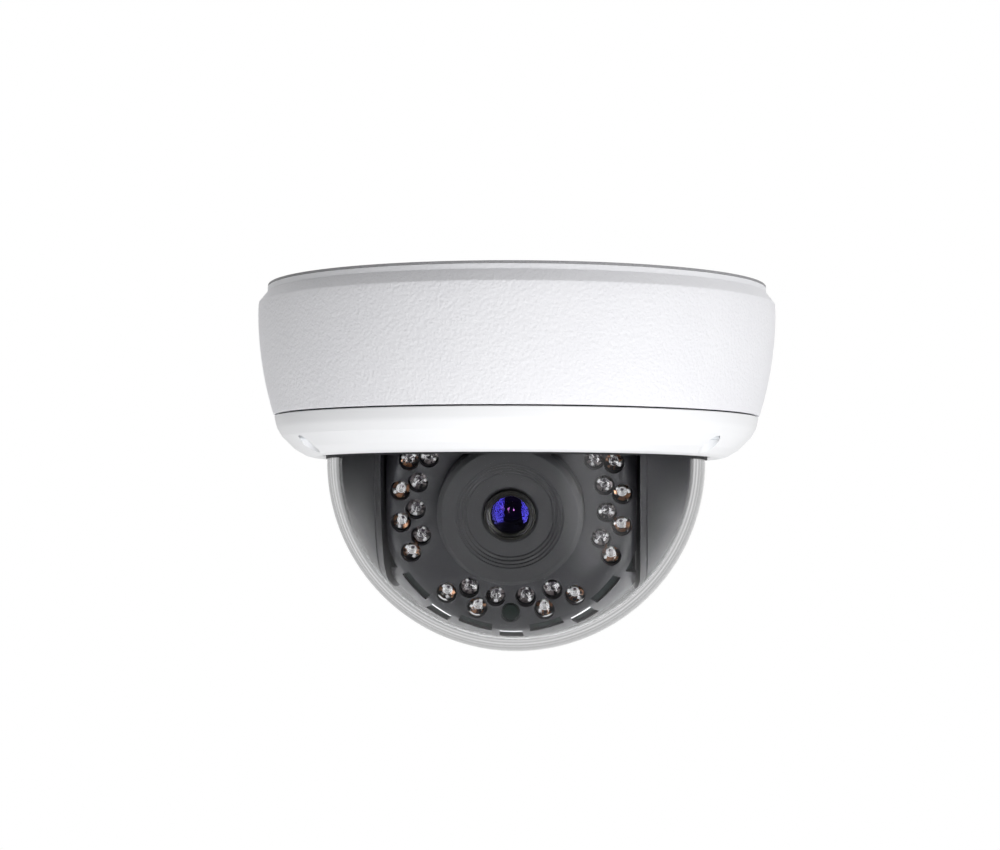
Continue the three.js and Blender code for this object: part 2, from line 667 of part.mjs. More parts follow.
// Ears on the bezel's side walls that carry the tilt pivots.
function pivotEar(side) {
  const [inner, outer] = [side * BEZEL_INNER_HALF, side * BEZEL_HALF_WIDTH];
  const plate = block([inner, -EAR_RADIUS, 0], [outer, EAR_RADIUS, 18]);
  const round = barAlongX(EAR_RADIUS, inner, outer);
  const boss = barAlongX(6, side * 26.8, outer);
  const hole = barAlongX(PIVOT_SCREW + 0.35, side * 20, side * REACH);
  return joinAll(plate, round, boss).subtract(hole).translate([0, LENS_DROP, 0]);
}

// Recesses along the bezel's rim, about the middle of the emitter rings: alternately a short one
// further out and a long one further in. The lower short ones have a slit through the wall along
// their inner side.
const RECESS_DEPTH = 0.9;
const RECESS_STEP = 16; // degrees
const LONG_RECESS = { inner: 31.4, outer: 33.8, half: 7.6, low: 23 };
const SHORT_RECESS = { inner: 33.8, outer: 37.6, half: 5, low: 20 };
const SLIT = { inner: 33.2, outer: 33.85, half: 5, low: 17 };

function rimTools(shape, steps) {
  return steps.map((step) => {
    const middle = FRONT + FACE_TURN + step * RECESS_STEP;
    const { inner, outer, half, low } = shape;
    const tool = ringPiece(inner, outer, middle - half, middle + half, low, REACH, 3);
    return tool.translate([0, EMITTER_RAISE, 0]);
  });
}

function frontBezel() {
  const recesses = [
    ...rimTools(LONG_RECESS, [-3, -1, 1, 3]),
    ...rimTools(SHORT_RECESS, [-4, -2, 0, 2, 4]),
  ];
  const shell = cutAll(bezelBody(FACE, 0, BEZEL_HALF_WIDTH), recesses)
    .add(bezelBody(FACE - RECESS_DEPTH, RECESS_DEPTH, BEZEL_HALF_WIDTH))
    .subtract(bezelBody(FACE_BACK, BEZEL_WALL, BEZEL_INNER_HALF))
    .subtract(behindSkirt());
  const posts = POSTS.map(([, place]) => bar(POST_RADIUS, POST_END, FACE_BACK + 0.5, place));
  const postHoles = POSTS.map(([, place]) =>
    bar(HEAD_SCREW_SHANK + FIT, POST_END - 1, POST_END + 7, place),
  );
  const emitterHoles = Object.values(EMITTER_BANKS)
    .flat()
    .map((place) => bar(EMITTER_HOLE, LED_BOARD_HIGH, FACE + 1, place, EMITTER_SIDES));
  const sensorHole = bar(LIGHT_SENSOR_RADIUS + 2 * FIT, FACE_BACK - 1, FACE + 1, LIGHT_SENSOR_PLACE);
  const opening = bar(BEZEL_OPENING, FACE_BACK - 1, FACE + 1, [0, 0], SHROUD_SIDES);
  const ears = SIDES.map(([, side]) => pivotEar(side));
  const joined = joinAll(shell, ...ears, ...posts);
  const slits = rimTools(SLIT, [-2, 0, 2]);
  return cutAll(joined, [...postHoles, ...emitterHoles, ...slits, sensorHole, opening]);
}

const LED_BOARD_LOW = 23.4;
const LED_BOARD_HIGH = 25;
const STRIP_LOW = LED_BOARD_HIGH + FIT;
const STRIP_HIGH = STRIP_LOW + 0.8;
const EMITTER_SHOULDER = 29; // the emitter's round tip starts here

// A bank of emitters standing on their common solder strip.
function emitterBank(places, strip) {
  const tip = heights(0, 90, 2).map((angle) => [
    EMITTER_RADIUS * Math.cos(radians(angle)),
    EMITTER_SHOULDER + EMITTER_RADIUS * Math.sin(radians(angle)),
  ]);
  const foot = STRIP_LOW + 0.2;
  const emitter = turned([[0, foot], [EMITTER_RADIUS, foot], ...tip], EMITTER_SIDES);
  return joinAll(strip, ...places.map((place) => emitter.translate([...place, 0])));
}

function addEmitters() {
  const postHoles = POSTS.map(([, place]) =>
    bar(POST_RADIUS + FIT, LED_BOARD_LOW - 1, LED_BOARD_HIGH + 1, place),
  );
  const slab = block([-29.6, -REACH, LED_BOARD_LOW], [29.6, REACH, LED_BOARD_HIGH]);
  const disc = turned([
    [20.9, LED_BOARD_LOW],
    [31.5, LED_BOARD_LOW],
    [31.5, LED_BOARD_HIGH],
    [20.9, LED_BOARD_HIGH],
  ]).intersect(slab);
  add(optics, 'ir_led_board', cutAll(disc, postHoles), 'blackBoard');

  const strip = (inner, outer, from, to) => ringPiece(inner, outer, from, to, STRIP_LOW, STRIP_HIGH);
  const strips = {
    left: strip(22.6, 29.8, 180 - 33, 180 + 33),
    right: strip(22.6, 29.8, -33, 33),
    bottom: joinAll(
      strip(22, 24.4, FRONT - 29, FRONT + 29),
      strip(24.2, 29.8, FRONT - 38, FRONT - 14),
      strip(24.2, 29.8, FRONT + 14, FRONT + 38),
    ),
  };
  for (const [name, places] of Object.entries(EMITTER_BANKS)) {
    add(optics, `ir_led_bank_${name}`, emitterBank(places, strips[name]), 'emitter');
  }
  const cell = bar(LIGHT_SENSOR_RADIUS, STRIP_LOW, FACE - 0.5, LIGHT_SENSOR_PLACE);
  add(optics, 'light_sensor', cell, 'chip');
}

function rearCover() {
  const cup = turned(
    [
      [22.3, 12],
      [29.5, 12],
      [29.5, 10],
      [24, 10],
      [24, -9],
      [21, -12],
      [0, -12],
      [0, -10.3],
      [19.8, -10.3],
      [22.3, -8.5],
    ],
    SHROUD_SIDES,
  );
  const leadNotch = block([-5, 15, -6], [5, REACH, 3]);
  const screwHoles = POSTS.map(([, place]) => bar(HEAD_SCREW_SHANK + FIT, 9, 13, place));
  return cutAll(cup, [leadNotch, ...screwHoles]);
}

// A shoulder screw along X: the head tilts on its shoulder.
function tiltPivot(side) {
  const shoulderStart = BEZEL_HALF_WIDTH + FIT;
  const headStart = ARM_OUTER + FIT;
  const headEnd = headStart + 1.9;
  const drive = barAlongX(1.8, side * (headEnd - 1.1), side * (headEnd + 1), 6);
  return joinAll(
    barAlongX(PIVOT_SCREW, side * 28, side * shoulderStart),
    barAlongX(PIVOT_HOLE - FIT, side * shoulderStart, side * headStart),
    barAlongX(4.9, side * headStart, side * headEnd),
  ).subtract(drive);
}

function addHead() {
  add(optics, 'front_bezel', frontBezel(), 'darkPlastic');
  addEmitters();
  add(optics, 'rear_cover', rearCover(), 'darkPlastic');
  for (const [name, place] of POSTS) {
    const solid = screw(place, POST_END + 5, 10 - FIT, 1.6, HEAD_SCREW_SHANK, 2.4);
    add(optics, `head_screw_${name}`, solid, 'blackSteel');
  }
  for (const [name, side] of SIDES) {
    add(head, `tilt_pivot_${name}`, tiltPivot(side), 'blackSteel');
  }
}

// ---------------------------------------------------------------- camera module

const SENSOR_BOARD_THICKNESS = 1.6;
const FILTER_LOW = 4.2;
const FILTER_HIGH = 8;
const HOLDER_LOW = FILTER_HIGH + FIT;
const HOLDER_FRONT = 22.3;
const LEG_RADIUS = 2.2;
const LEG_HOLE = 1.3;
const BARREL_RADIUS = 6;
const LEGS = [
  ['left', [-11.5, -11.5]],
  ['right', [11.5, 11.5]],
];

// Rubber shroud between the lens and the dome, with a stepped front.
function shroudOutline() {
  const hubRadius = LENS_NOSE_RADIUS + 0.55;
  const flangeLow = LED_BOARD_HIGH + 0.8;
  return [
    [hubRadius, 25.4],
    [9.5, 25.4],
    [9.5, 34.4],
    [16.6, 35],
    [16.6, flangeLow],
    [20.3, flangeLow],
    [20.3, flangeLow + 1.8],
    [SHROUD_RADIUS, flangeLow + 1.8],
    [SHROUD_RADIUS, 36.2],
    [17.2, 37.4],
    [14.1, SHROUD_FRONT],
    [13.2, 37.2],
    [12.2, 36],
    [hubRadius, 36.4],
  ];
}

function lensHolder() {
  const base = block([-14, -14, HOLDER_LOW], [14, 14, HOLDER_LOW + 2]);
  const tube = bar(8.4, HOLDER_LOW, HOLDER_FRONT, [0, 0], MIDDLE_SIDES);
  const bore = bar(BARREL_RADIUS + FIT, HOLDER_LOW + 1.7, REACH, [0, 0], MIDDLE_SIDES);
  const window = bar(4.5, 0, REACH, [0, 0], MIDDLE_SIDES);
  const legs = LEGS.map(([, place]) =>
    bar(LEG_RADIUS, SENSOR_BOARD_THICKNESS + FIT, HOLDER_LOW + 1, place),
  );
  const legHoles = LEGS.map(([, place]) => bar(LEG_HOLE, 0, 7, place));
  return cutAll(joinAll(base, tube, ...legs), [bore, window, ...legHoles]);
}

// The switching filter's case: a window along the lens axis and a channel for the blade.
function filterHousing() {
  const body = block([-15, -8, FILTER_LOW], [15, 8, FILTER_HIGH]);
  const channel = block([-13.6, -5.3, 5.2], [REACH, 5.3, 7]);
  return cutAll(body, [channel, bar(4.2, 0, REACH, [0, 0], MIDDLE_SIDES)]);
}

// The lock ring on the lens, with eight grip grooves round it.
function lockRing() {
  const [bore, outer, low, high] = [BARREL_RADIUS + FIT, 9.4, HOLDER_FRONT + FIT, 24.8];
  const outline = [
    [bore, low],
    [outer, low],
    [outer, high],
    [bore, high],
  ];
  const grips = heights(0, 315, 7).map((angle) =>
    bar(0.7, low - 1, high + 1, around(outer + 0.2, angle), EMITTER_SIDES),
  );
  return cutAll(turned(outline, MIDDLE_SIDES), grips);
}

function addCameraModule() {
  const half = 15; // half the side of the sensor board
  const board = block([-half, -half, 0], [half, half, SENSOR_BOARD_THICKNESS]);
  const boardHoles = LEGS.map(([, place]) => bar(LEG_HOLE, -1, 3, place));
  add(optics, 'sensor_board', cutAll(board, boardHoles), 'greenBoard');
  const sensorLow = SENSOR_BOARD_THICKNESS + 0.1;
  add(optics, 'image_sensor', block([-5.5, -5, sensorLow], [5.5, 5, sensorLow + 1.5]), 'sensor');
  add(optics, 'filter_housing', filterHousing(), 'darkPlastic');
  add(optics, 'filter_actuator', block([-6, 8 + FIT, 3.4], [6, 13.3, FILTER_HIGH]), 'connector');
  add(optics, 'ir_cut_filter', block([-4.9, -4.9, 5.6], [12.5, 4.9, 6.6]), 'filterGlass');
  add(optics, 'lens_holder', lensHolder(), 'darkPlastic');
  for (const [name, place] of LEGS) {
    add(optics, `holder_screw_${name}`, screw(place, 6, -FIT, 1.2, 1, 2), 'steel');
  }
  add(optics, 'lens_shroud', turned(shroudOutline(), SHROUD_SIDES), 'rubber');
}

// ---------------------------------------------------------------- lens

function addLens() {
  const seat = 31.4;
  const noseBore = 5.75;
  const barrelOutline = [
    [4, 12],
    [BARREL_RADIUS, 12],
    [BARREL_RADIUS, 33.4],
    [LENS_NOSE_RADIUS, 33.4],
    [LENS_NOSE_RADIUS, LENS_NOSE_FRONT],
    [noseBore, LENS_NOSE_FRONT],
    [noseBore, seat],
    [4, seat],
  ];
  add(optics, 'lens_barrel', turned(barrelOutline, MIDDLE_SIDES), 'blackAnodised');

  const glassRadius = 5.45;
  const crown = 37.5;
  const curve = 9.6;
  const bulge = (r) => crown - curve + Math.sqrt(curve ** 2 - r ** 2);
  const dome = heights(glassRadius, 0, 4).map((r) => [r, bulge(r)]);
  const front = turned([[0, seat + FIT], [glassRadius, seat + FIT], ...dome], MIDDLE_SIDES);
  add(optics, 'front_lens', front, 'coatedGlass');
  const ringOutline = [
    [5.15, 36.2],
    [5.6, 36.2],
    [5.6, LENS_NOSE_FRONT - 0.1],
    [5.3, LENS_NOSE_FRONT - 0.1],
  ];
  add(optics, 'lens_ring', turned(ringOutline, MIDDLE_SIDES), 'blackAnodised');
  const rearOutline = [
    [0, 13.6],
    [2.6, 14],
    [3.7, 14.6],
    [3.7, 16],
    [2.6, 16.6],
    [0, 17],
  ];
  add(optics, 'rear_lens', turned(rearOutline, MIDDLE_SIDES), 'coatedGlass');
  add(optics, 'lens_lock_ring', lockRing(), 'blackAnodised');
}

addHousing();
addMainBoard();
addCover();
addPanBearing();
addPanStage();
addHead();
addCameraModule();
addLens();

export default camera;
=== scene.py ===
"""Looks of a ceiling dome camera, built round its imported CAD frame.

Outlines and sizes are in millimetres, in two frames: the row's own, and the optics' frame, whose
origin is on the lens axis with +Z forwards along it and +Y up. Every mesh ends up in metres in the
row's frame.
"""

import json
import math

import bmesh
import bpy
from mathutils import Matrix, Vector


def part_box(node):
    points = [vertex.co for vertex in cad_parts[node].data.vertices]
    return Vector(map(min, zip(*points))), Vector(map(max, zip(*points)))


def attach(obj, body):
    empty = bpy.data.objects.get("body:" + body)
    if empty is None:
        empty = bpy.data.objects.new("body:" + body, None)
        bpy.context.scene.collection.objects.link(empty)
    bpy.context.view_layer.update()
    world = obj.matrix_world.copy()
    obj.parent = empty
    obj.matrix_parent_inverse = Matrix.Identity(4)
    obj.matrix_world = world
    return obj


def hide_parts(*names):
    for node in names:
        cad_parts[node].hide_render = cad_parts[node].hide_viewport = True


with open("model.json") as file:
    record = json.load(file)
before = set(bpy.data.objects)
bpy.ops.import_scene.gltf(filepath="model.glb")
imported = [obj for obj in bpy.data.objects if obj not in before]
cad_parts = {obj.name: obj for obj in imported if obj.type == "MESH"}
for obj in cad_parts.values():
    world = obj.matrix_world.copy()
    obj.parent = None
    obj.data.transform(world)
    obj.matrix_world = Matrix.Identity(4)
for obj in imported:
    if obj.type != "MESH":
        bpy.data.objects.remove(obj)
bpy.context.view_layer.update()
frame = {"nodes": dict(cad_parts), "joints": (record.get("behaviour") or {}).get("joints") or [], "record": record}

# ---------------------------------------------------------------- sizes read from the frame

MM = 0.001
joints = {joint["name"]: joint for joint in frame["joints"]}


def box_mm(node):
    low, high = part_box(node)
    return low / MM, high / MM


BODY_RADIUS = box_mm("base_housing")[1].x
SEAM_Z = box_mm("base_housing")[0].z
COVER_TOP = box_mm("cover_ring")[1].z
COVER_LOW = box_mm("cover_ring")[0].z
NECK_RADIUS = box_mm("mounting_gasket")[1].x
DOME_CENTRE_Z = joints["tilt"]["pos_m"][2] / MM
DOME_RADIUS = DOME_CENTRE_Z - box_mm("dome_bubble")[0].z
DOME_FLANGE_RADIUS = box_mm("dome_seal")[1].x
LENS_DIRECTION = Vector(joints["roll"]["axis"]).normalized()
LENS_ORIGIN = Vector(joints["roll"]["pos_m"])

# ---------------------------------------------------------------- sizes shared by pieces

CEILING_Z = 0.0
WALL = 3.0
WIDEST_Z = -7.0
SIDE_CURVE = 93.3
GASKET_HEIGHT = 0.7
GASKET_INNER_RADIUS = 61.0
DOME_WALL = 3.2
SHELF_Z = -43.6
LIP_RADIUS = 51.9
HEAD_RADIUS = 47.2
LENS_DROP = (Vector(joints["tilt"]["pos_m"]) - LENS_ORIGIN).length / MM
FACE = 31.0
FACE_BACK = 29.2
BEZEL_HALF_WIDTH = 31.7
ARM_INNER = 32.4
SHROUD_RADIUS = 18.5
LENS_NOSE_RADIUS = 6.5
LENS_NOSE_FRONT = 37.3
SHROUD_FRONT = 38.0
EMITTER_RADIUS = 2.15
EMITTER_RAISE = 0.85
FACE_TURN = -0.7  # degrees by which the face's pattern is turned about the lens axis
EMITTER_STEP = 16.8
EMITTER_OUTER_RING = 28.4
EMITTER_INNER_RING = 24.35
FRONT = 270

FINE = 256  # steps round a large turned piece
MEDIUM = 96
SMALL = 40
REACH = 200.0

# The frames as matrices from millimetres to metres in the row's frame.
ROW = Matrix.Scale(MM, 4)


def lens_frame(origin):
    across = Vector((1, 0, 0))
    up = LENS_DIRECTION.cross(across)
    turn = Matrix((across, up, LENS_DIRECTION)).transposed().to_4x4()
    return Matrix.Translation(origin) @ turn @ Matrix.Scale(MM, 4)


OPTICS = lens_frame(LENS_ORIGIN)

# ---------------------------------------------------------------- mesh making


def mesh_of(points, faces):
    mesh = bpy.data.meshes.new("scratch")
    mesh.from_pydata(points, [], faces)
    mesh.validate()
    return mesh


def around(radius, degrees):
    angle = math.radians(degrees)
    return radius * math.cos(angle), radius * math.sin(angle)


def on_ring(radius, degrees):
    """A place on one of the emitters' rings, whose middle lies above the lens axis."""
    across, up = around(radius, degrees + FACE_TURN)
    return across, up + EMITTER_RAISE


def spread(start, end, steps):
    return [start + (end - start) * i / steps for i in range(steps + 1)]


def rounded(corners, steps=5):
    """The outline through corners of (x, y, fillet), with an arc of that radius at each."""
    points = []
    for i, (x, y, fillet) in enumerate(corners):
        here = Vector((x, y))
        if fillet == 0:
            points.append((x, y))
            continue
        before = (Vector(corners[i - 1][:2]) - here).normalized()
        after = (Vector(corners[(i + 1) % len(corners)][:2]) - here).normalized()
        half = before.angle(after) / 2
        centre = here + (before + after).normalized() * (fillet / math.sin(half))
        first = here + before * (fillet / math.tan(half)) - centre
        last = here + after * (fillet / math.tan(half)) - centre
        turn = math.atan2(first.x * last.y - first.y * last.x, first.dot(last))
        for share in spread(0, 1, steps):
            spoke = Matrix.Rotation(turn * share, 2) @ first
            points.append(tuple(centre + spoke))
    return points


def turned(outline, steps=FINE):
    """A closed solid turned about Z from its outline of (radius, height) points."""
    points, rings = [], []
    for radius, height in outline:
        if radius < 1e-6:
            rings.append([len(points)] * steps)
            points.append((0, 0, height))
            continue
        rings.append([len(points) + i for i in range(steps)])
        points += [(*around(radius, 360 * i / steps), height) for i in range(steps)]
    faces = []
    for here, there in zip(rings, rings[1:] + rings[:1]):
        for i in range(steps):
            j = (i + 1) % steps
            face = list(dict.fromkeys((here[i], here[j], there[j], there[i])))
            if len(face) > 2:
                faces.append(face)
    return outward(mesh_of(points, faces))


def outward(mesh):
    work = bmesh.new()
    work.from_mesh(mesh)
    bmesh.ops.recalc_face_normals(work, faces=work.faces)
    work.to_mesh(mesh)
    work.free()
    return mesh


def bar(radius, low, high, place=(0, 0), steps=SMALL):
    made = turned([(0, low), (radius, low), (radius, high), (0, high)], steps)
    return moved(made, Matrix.Translation((*place, 0)))


def flared_hole(radius, low, high, flare, place=(0, 0), steps=SMALL):
    """A tool for a hole whose edge at the height high is broken by a rounded chamfer."""
    arc = [
        (radius + flare * (1 - math.cos(angle)), high - flare * (1 - math.sin(angle)))
        for angle in spread(0, math.pi / 2, 4)
    ]
    outline = [(0, low), (radius, low), *arc, (radius + flare, high + 1), (0, high + 1)]
    return moved(turned(outline, steps), Matrix.Translation((*place, 0)))


def block(low, high):
    corners = [(x, y, z) for x in (low[0], high[0]) for y in (low[1], high[1]) for z in (low[2], high[2])]
    faces = [(0, 1, 3, 2), (4, 6, 7, 5), (0, 4, 5, 1), (2, 3, 7, 6), (0, 2, 6, 4), (1, 5, 7, 3)]
    return outward(mesh_of(corners, faces))


def prism(outline, low, high):
    """A closed solid over a flat outline, between two heights."""
    count = len(outline)
    points = [(x, y, low) for x, y in outline] + [(x, y, high) for x, y in outline]
    faces = [list(range(count))[::-1], list(range(count, 2 * count))]
    faces += [(i, (i + 1) % count, (i + 1) % count + count, i + count) for i in range(count)]
    return outward(mesh_of(points, faces))


def ring_piece(inner, outer, start, end, low, high, steps=16):
    outside = [around(outer, angle) for angle in spread(start, end, steps)]
    inside = [around(inner, angle) for angle in spread(end, start, steps)]
    return prism(outside + inside, low, high)


def moved(mesh, matrix):
    mesh.transform(matrix)
    if matrix.determinant() < 0:
        mesh.flip_normals()
    return mesh


def along_x(mesh):
    """Turns a piece made along Z so that it lies along X."""
    return moved(mesh, Matrix.Rotation(math.radians(90), 4, "Y"))


def scratch_object(mesh):
    made = bpy.data.objects.new("scratch", mesh)
    bpy.context.scene.collection.objects.link(made)
    return made


def evaluated(holder):
    """The mesh of an object with its modifiers applied. The object is removed."""
    bpy.context.view_layer.update()
    graph = bpy.context.evaluated_depsgraph_get()
    mesh = bpy.data.meshes.new_from_object(holder.evaluated_get(graph))
    bpy.data.objects.remove(holder)
    return mesh


def boolean(mesh, tools, operation):
    for tool in tools:
        holder, other = scratch_object(mesh), scratch_object(tool)
        modifier = holder.modifiers.new("boolean", "BOOLEAN")
        modifier.operation = operation
        modifier.object = other
        modifier.solver = "MANIFOLD"
        mesh = evaluated(holder)
        bpy.data.objects.remove(other)
    return mesh


def cut(mesh, *tools):
    return boolean(mesh, tools, "DIFFERENCE")


def join(mesh, *others):
    return boolean(mesh, others, "UNION")


def common(mesh, *others):
    return boolean(mesh, others, "INTERSECT")


def softened(mesh, width, steps=2, sharper_than=35):
    """The mesh with its sharp edges rounded."""
    holder = scratch_object(mesh)
    modifier = holder.modifiers.new("bevel", "BEVEL")
    modifier.width = width
    modifier.segments = steps
    modifier.limit_method = "ANGLE"
    modifier.angle_limit = math.radians(sharper_than)
    modifier.use_clamp_overlap = True
    return evaluated(holder)


def merged(meshes):
    """Several separate solids as one mesh."""
    work = bmesh.new()
    for mesh in meshes:
        work.from_mesh(mesh)
    made = bpy.data.meshes.new("scratch")
    work.to_mesh(made)
    work.free()
    return made


def piece(name, mesh, body, finish, matrix=ROW, replaces=(), sharp=32):
    """A finished piece: placed in the row's frame, smooth but for its sharp edges, and riding."""
    moved(mesh, matrix)
    mesh.shade_smooth()
    mesh.set_sharp_from_angle(angle=math.radians(sharp))
    mesh.name = name
    mesh.materials.clear()
    mesh.materials.append(finish)
    made = bpy.data.objects.new(name, mesh)
    bpy.context.scene.collection.objects.link(made)
    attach(made, body)
    if replaces:
        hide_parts(*replaces)
    return made


def keep_flat(mesh, height):
    """Shade a level face apart from the rounded edges round it."""
    work = bmesh.new()
    work.from_mesh(mesh)
    flat = {face for face in work.faces if abs(face.calc_center_median().z - height) < 1e-6}
    for edge in work.edges:
        if len(flat.intersection(edge.link_faces)) == 1:
            edge.smooth = False
    work.to_mesh(mesh)
    work.free()


# ---------------------------------------------------------------- materials


class Tree:
    """A material's or the world's nodes, made and joined by short calls."""

    def __init__(self, owner):
        owner.use_nodes = True
        self.nodes = owner.node_tree.nodes
        self.links = owner.node_tree.links

    def node(self, kind, settings=None, **sockets):
        made = self.nodes.new(kind)
        for key, value in (settings or {}).items():
            setattr(made, key, value)
        for key, value in sockets.items():
            socket = made.inputs[int(key[1:])] if key[1:].isdigit() else made.inputs[key]
            if isinstance(value, bpy.types.NodeSocket):
                self.links.new(value, socket)
            else:
                socket.default_value = value
        return made

    def place(self):
        return self.node("ShaderNodeTexCoord").outputs["Object"]

    def noise(self, size, detail=3.0, roughness=0.5):
        """Soft noise with features of about size, in millimetres."""
        texture = self.node("ShaderNodeTexNoise", Scale=1 / (size * MM), Detail=detail, Roughness=roughness)
        self.links.new(self.place(), texture.inputs["Vector"])
        return texture.outputs[0]

    def cells(self, size, feature="SMOOTH_F1"):
        texture = self.node("ShaderNodeTexVoronoi", {"feature": feature}, Scale=1 / (size * MM))
        self.links.new(self.place(), texture.inputs["Vector"])
        return texture.outputs["Distance"]

    def math(self, operation, first, second=0.0):
        return self.node("ShaderNodeMath", {"operation": operation}, _0=first, _1=second).outputs[0]

    def ranged(self, value, low, high):
        return self.node("ShaderNodeMapRange", _0=value, _3=low, _4=high).outputs[0]

    def blend(self, share, first, second):
        settings = {"data_type": "RGBA"}
        made = self.node("ShaderNodeMix", settings, _0=share, _6=(*first, 1), _7=(*second, 1))
        return made.outputs[2]

    def bump(self, height, depth, strength=1.0):
        """A bump whose full height is depth, in millimetres."""
        made = self.node("ShaderNodeBump", Strength=strength, Distance=depth * MM, Height=height)
        return made.outputs[0]


def smooth_step(tree, value, start, end, low, high):
    settings = {"interpolation_type": "SMOOTHSTEP"}
    return tree.node("ShaderNodeMapRange", settings, _0=value, _1=start, _2=end, _3=low, _4=high).outputs[0]


def opaque(name, colour, roughness, metallic=0.0, drift=0.1, drift_size=8.0, grain=0.01, grain_size=0.3,
           roughness_drift=0.08, **sockets):
    """A finish whose colour and roughness drift over the surface, with a fine grain as a bump."""
    material = bpy.data.materials.new(name)
    tree = Tree(material)
    shader = tree.nodes["Principled BSDF"]
    darker = [channel * (1 - drift) for channel in colour]
    lighter = [min(1.0, channel * (1 + drift)) for channel in colour]
    patches = tree.noise(drift_size)
    tree.links.new(tree.blend(patches, darker, lighter), shader.inputs["Base Color"])
    uneven = tree.ranged(patches, roughness - roughness_drift, roughness + roughness_drift)
    tree.links.new(uneven, shader.inputs["Roughness"])
    tree.links.new(tree.bump(tree.noise(grain_size), grain), shader.inputs["Normal"])
    shader.inputs["Metallic"].default_value = metallic
    for key, value in sockets.items():
        shader.inputs[key.replace("_", " ")].default_value = value
    return material


def leather_paint():
    """Powder coat over a cast leather grain: low pebbles with fine creases between them."""
    material = bpy.data.materials.new("leather_paint")
    tree = Tree(material)
    shader = tree.nodes["Principled BSDF"]
    pebbles = tree.cells(0.9)
    creases = tree.math("MULTIPLY", tree.noise(0.5, 4.0), 1.0)
    height = tree.math("ADD", tree.math("SUBTRACT", 1.0, pebbles), creases)
    tree.links.new(tree.bump(height, 0.14, 0.8), shader.inputs["Normal"])
    tone = tree.blend(tree.noise(14.0), PAINT_SHADE, PAINT)
    tree.links.new(tone, shader.inputs["Base Color"])
    tree.links.new(tree.ranged(pebbles, 0.42, 0.6), shader.inputs["Roughness"])
    return material


def metal_with_painted_reflections(name, dark, light, size):
    """Plated metal with dark and bright patches painted into its colour as reflections of its small bends;
    roughness and bump follow the patches.
    """
    material = bpy.data.materials.new(name)
    tree = Tree(material)
    shader = tree.nodes["Principled BSDF"]
    patches = smooth_step(tree, tree.noise(size), 0.42, 0.58, 0.0, 1.0)
    tree.links.new(tree.blend(patches, dark, light), shader.inputs["Base Color"])
    tree.links.new(tree.ranged(patches, 0.45, 0.2), shader.inputs["Roughness"])
    tree.links.new(tree.bump(tree.noise(size), 0.08), shader.inputs["Normal"])
    shader.inputs["Metallic"].default_value = 0.4
    return material


def see_through(name, tint, ior, lamp_tint, waviness=0.0, waviness_size=12.0, specular=0.5):
    """Clear material that bends what is seen through it and lets light in to what is behind it."""
    material = bpy.data.materials.new(name)
    tree = Tree(material)
    shader = tree.nodes["Principled BSDF"]
    shader.inputs["Base Color"].default_value = (*tint, 1)
    shader.inputs["Transmission Weight"].default_value = 1
    shader.inputs["IOR"].default_value = ior
    shader.inputs["Specular IOR Level"].default_value = specular
    tree.links.new(tree.ranged(tree.noise(waviness_size), 0.0, 0.02), shader.inputs["Roughness"])
    if waviness:
        tree.links.new(tree.bump(tree.noise(waviness_size), waviness), shader.inputs["Normal"])
    path = tree.node("ShaderNodeLightPath").outputs
    clear = tree.node("ShaderNodeBsdfTransparent", Color=(*lamp_tint, 1)).outputs[0]
    mixed = shader.outputs[0]
    for ray in ("Is Diffuse Ray", "Is Shadow Ray"):
        mixed = tree.node("ShaderNodeMixShader", _0=path[ray], _1=mixed, _2=clear).outputs[0]
    tree.links.new(mixed, tree.nodes["Material Output"].inputs["Surface"])
    return material


PAINT = (0.82, 0.82, 0.845)
PAINT_SHADE = (0.78, 0.78, 0.81)
COVER_PAINT = (0.85, 0.855, 0.87)

leather_white = leather_paint()
satin_white = opaque("satin_paint", COVER_PAINT, 0.36, drift=0.015, drift_size=20, grain=0.012,
                     grain_size=0.9, Coat_Weight=0.25, Coat_Roughness=0.2)
foam_black = opaque("foam", (0.3, 0.3, 0.31), 0.9, drift=0.3, drift_size=0.6, grain=0.15, grain_size=0.4)
rubber_black = opaque("black_rubber", (0.022, 0.022, 0.024), 0.62, drift=0.2, drift_size=1.2,
                      grain=0.03, grain_size=0.25)
shroud_rubber = opaque("shroud_rubber", (0.03, 0.03, 0.032), 0.6, drift=0.22, drift_size=0.5,
                       grain=0.035, grain_size=0.22)
dark_plastic = opaque("dark_plastic", (0.03, 0.03, 0.034), 0.5, drift=0.1, drift_size=5,
                      grain=0.012, grain_size=0.18)
liner_plastic = opaque("liner_plastic", (0.018, 0.024, 0.024), 0.7, drift=0.15, drift_size=2,
                       grain=0.008, grain_size=0.3, Specular_IOR_Level=0.08)
# Bright steel for the strips set into the slits as a painted highlight.
highlight_strip_steel = opaque("highlight_strip_steel", (0.8, 0.8, 0.82), 0.3, metallic=0.9, drift=0.05, drift_size=2,
                     grain=0.006, grain_size=0.2)
arm_plastic = opaque("arm_plastic", (0.022, 0.022, 0.024), 0.5, drift=0.08, drift_size=6,
                     grain=0.01, grain_size=0.2, Specular_IOR_Level=0.35)
bright_steel = opaque("bright_steel", (0.62, 0.62, 0.64), 0.3, metallic=1, drift=0.12, drift_size=1.5,
                      grain=0.006, grain_size=0.15)
pale_steel = opaque("pale_steel", (0.72, 0.75, 0.78), 0.4, metallic=0.15, drift=0.06, drift_size=2,
                    grain=0.006, grain_size=0.2)
black_steel = opaque("black_steel", (0.05, 0.05, 0.055), 0.38, metallic=0.8, drift=0.2, drift_size=1,
                     grain=0.008, grain_size=0.2)
green_board = opaque("green_board", (0.012, 0.1, 0.045), 0.35, drift=0.25, drift_size=3, grain=0.02,
                     grain_size=0.8)
black_board = opaque("black_board", (0.012, 0.013, 0.015), 0.4, drift=0.3, drift_size=3, grain=0.02,
                     grain_size=0.8)
